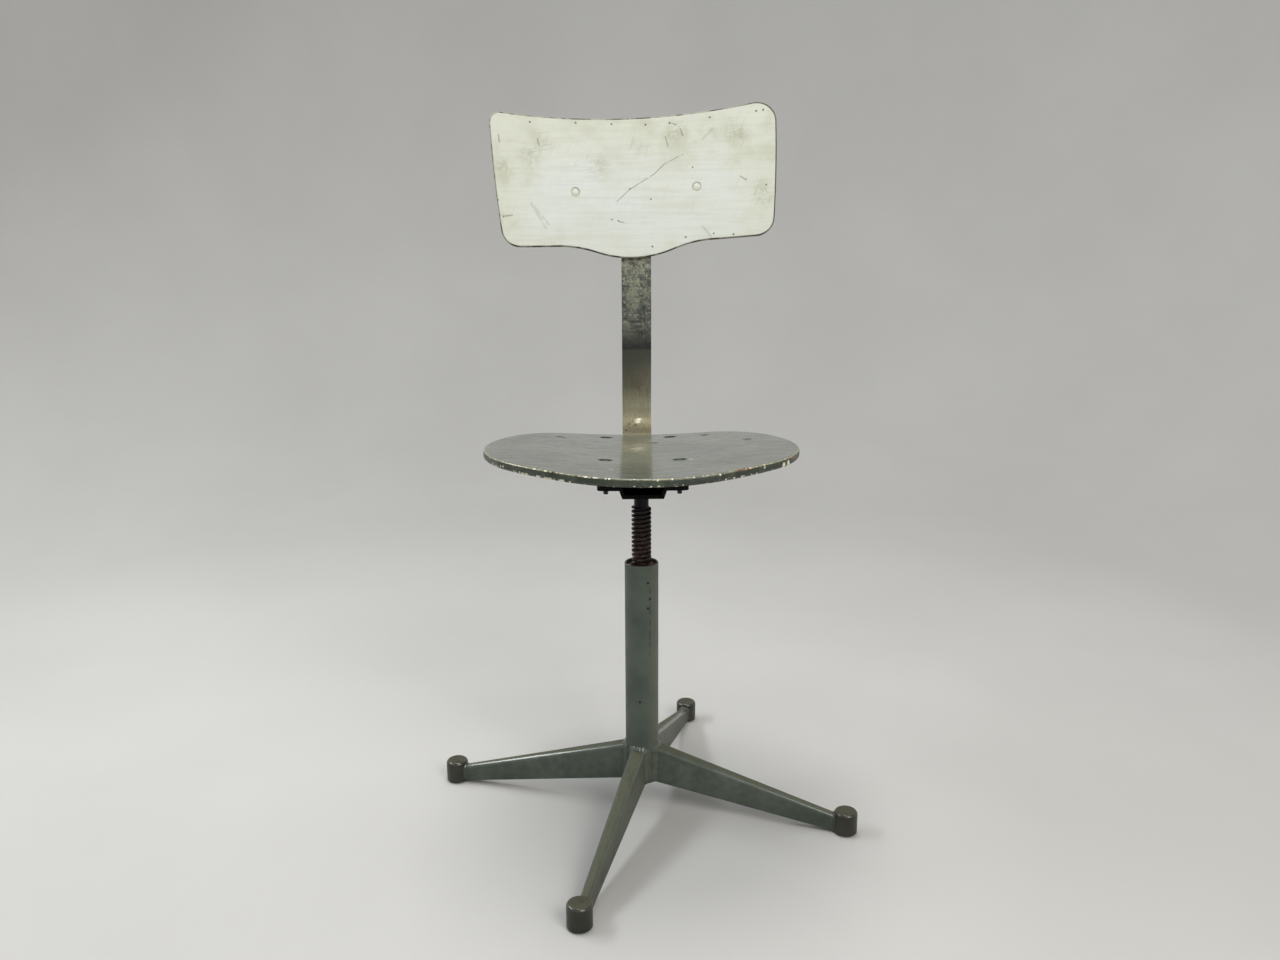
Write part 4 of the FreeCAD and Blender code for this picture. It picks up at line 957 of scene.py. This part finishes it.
crossbar_steel = plain_steel("crossbar_steel", dark=srgb(78, 80, 72), light=srgb(118, 120, 108), rough=0.3)

dress(frame_paint, "column_tube", *["leg_" + leg for leg in LEGS])
dress(foot_paint, *["foot_" + leg for leg in LEGS])
dress(rubber_finish(), *["glide_" + leg for leg in LEGS])
dress(bronze_finish(), "spindle_nut", "guide_bush")
dress(spindle_finish(), "spindle")
dress(bracket_paint, "seat_bracket")
dress(packing_finish(), "packing_left", "packing_right")
dress(seat_finish(), "seat")
dress(seat_bolt_paint, "seat_bolts")
dress(strip_finish(), "back_strip")
dress(crossbar_steel, "crossbar")
dress(backrest_finish(), "backrest")
dress(backrest_bolt_paint, "backrest_bolts")
dress(dull_steel, "stop_washer", "stop_bolt", "strip_bolts", "strip_washers", "strip_nuts", "strip_rivets",
      "backrest_washers", "backrest_nuts")
make_welds(frame_paint)


# Stage, light and camera

def make_floor():
    """Round floor that sweeps up into a wall on all sides."""
    flat = FLOOR_REACH - FLOOR_BEND
    profile = [(ring, 0.0) for ring in FLOOR_RINGS] + [(flat, 0.0)]
    for step in range(1, FLOOR_BEND_STEPS + 1):
        turn = math.pi / 2 * step / FLOOR_BEND_STEPS
        profile.append((flat + FLOOR_BEND * math.sin(turn), FLOOR_BEND - FLOOR_BEND * math.cos(turn)))
    profile.append((FLOOR_REACH, WALL_HEIGHT))
    verts = []
    faces = []
    for reach, level in profile:
        for spoke in range(FLOOR_SPOKES):
            turn = 2 * math.pi * spoke / FLOOR_SPOKES
            verts.append((reach * math.cos(turn), reach * math.sin(turn), level))
    for ring in range(len(profile) - 1):
        inner = ring * FLOOR_SPOKES
        outer = inner + FLOOR_SPOKES
        for spoke in range(FLOOR_SPOKES):
            after = (spoke + 1) % FLOOR_SPOKES
            faces.append((inner + spoke, inner + after, outer + after, outer + spoke))
    floor = mesh_object("floor", verts, faces)
    floor.data.materials.append(floor_finish())


def add_lamp(name, place, target, width, height, power, colour):
    """Oblong lamp that faces its target."""
    data = bpy.data.lights.new(name, "AREA")
    data.shape = "RECTANGLE"
    data.size = width
    data.size_y = height
    data.energy = power
    data.color = colour
    lamp = bpy.data.objects.new(name, data)
    lamp.location = place
    lamp.rotation_mode = "QUATERNION"
    lamp.rotation_quaternion = (Vector(target) - Vector(place)).to_track_quat("-Z", "Y")
    scene.collection.objects.link(lamp)


def set_sky():
    sky = bpy.data.worlds.new("sky")
    sky.use_nodes = True
    sky.node_tree.nodes["Background"].inputs["Color"].default_value = (SKY_LEVEL, SKY_LEVEL, SKY_LEVEL, 1.0)
    scene.world = sky


def set_camera():
    turn = math.radians(VIEW_TURN)
    aim = math.radians(VIEW_TURN + VIEW_AIM)
    pitch = math.radians(VIEW_PITCH)
    roll = math.radians(VIEW_ROLL)
    ahead = Vector((math.sin(aim) * math.cos(pitch), math.cos(aim) * math.cos(pitch), -math.sin(pitch)))
    level_right = Vector((math.cos(aim), -math.sin(aim), 0.0))
    level_up = level_right.cross(ahead)
    right = level_right * math.cos(roll) + level_up * math.sin(roll)
    up = right.cross(ahead)
    place = Vector((-VIEW_DISTANCE * math.sin(turn), -VIEW_DISTANCE * math.cos(turn), VIEW_HEIGHT))
    data = bpy.data.cameras.new("camera")
    data.sensor_width = SENSOR_WIDTH
    data.lens = FOCAL_PIXELS / IMAGE_WIDTH * SENSOR_WIDTH
    data.clip_start = CLIP_NEAR
    data.clip_end = CLIP_FAR
    camera = bpy.data.objects.new("camera", data)
    camera.matrix_world = Matrix.Translation(place) @ Matrix((right, up, -ahead)).transposed().to_4x4()
    scene.collection.objects.link(camera)
    scene.camera = camera


scene.view_settings.view_transform = "Standard"
make_floor()
add_lamp("overhead", place=(-0.1, 0.25, 2.3), target=(0.0, 0.0, 0.3), width=0.8, height=0.8,
         power=18.0, colour=(1.0, 0.98, 0.94))
add_lamp("left", place=(-1.5, 0.25, 1.5), target=(0.0, 0.0, 0.3), width=1.5, height=0.3,
         power=17.0, colour=(0.97, 0.99, 1.0))
add_lamp("fill", place=(0.95, -1.75, 1.75), target=(0.0, 0.1, 0.6), width=1.1, height=1.3,
         power=30.0, colour=(1.0, 0.97, 0.9))
add_lamp("front", place=(0.05, -1.5, 1.26), target=(0.0, 0.2, 0.43), width=0.008, height=0.5,
         power=0.4, colour=(1.0, 0.95, 0.86))
set_sky()
set_camera()
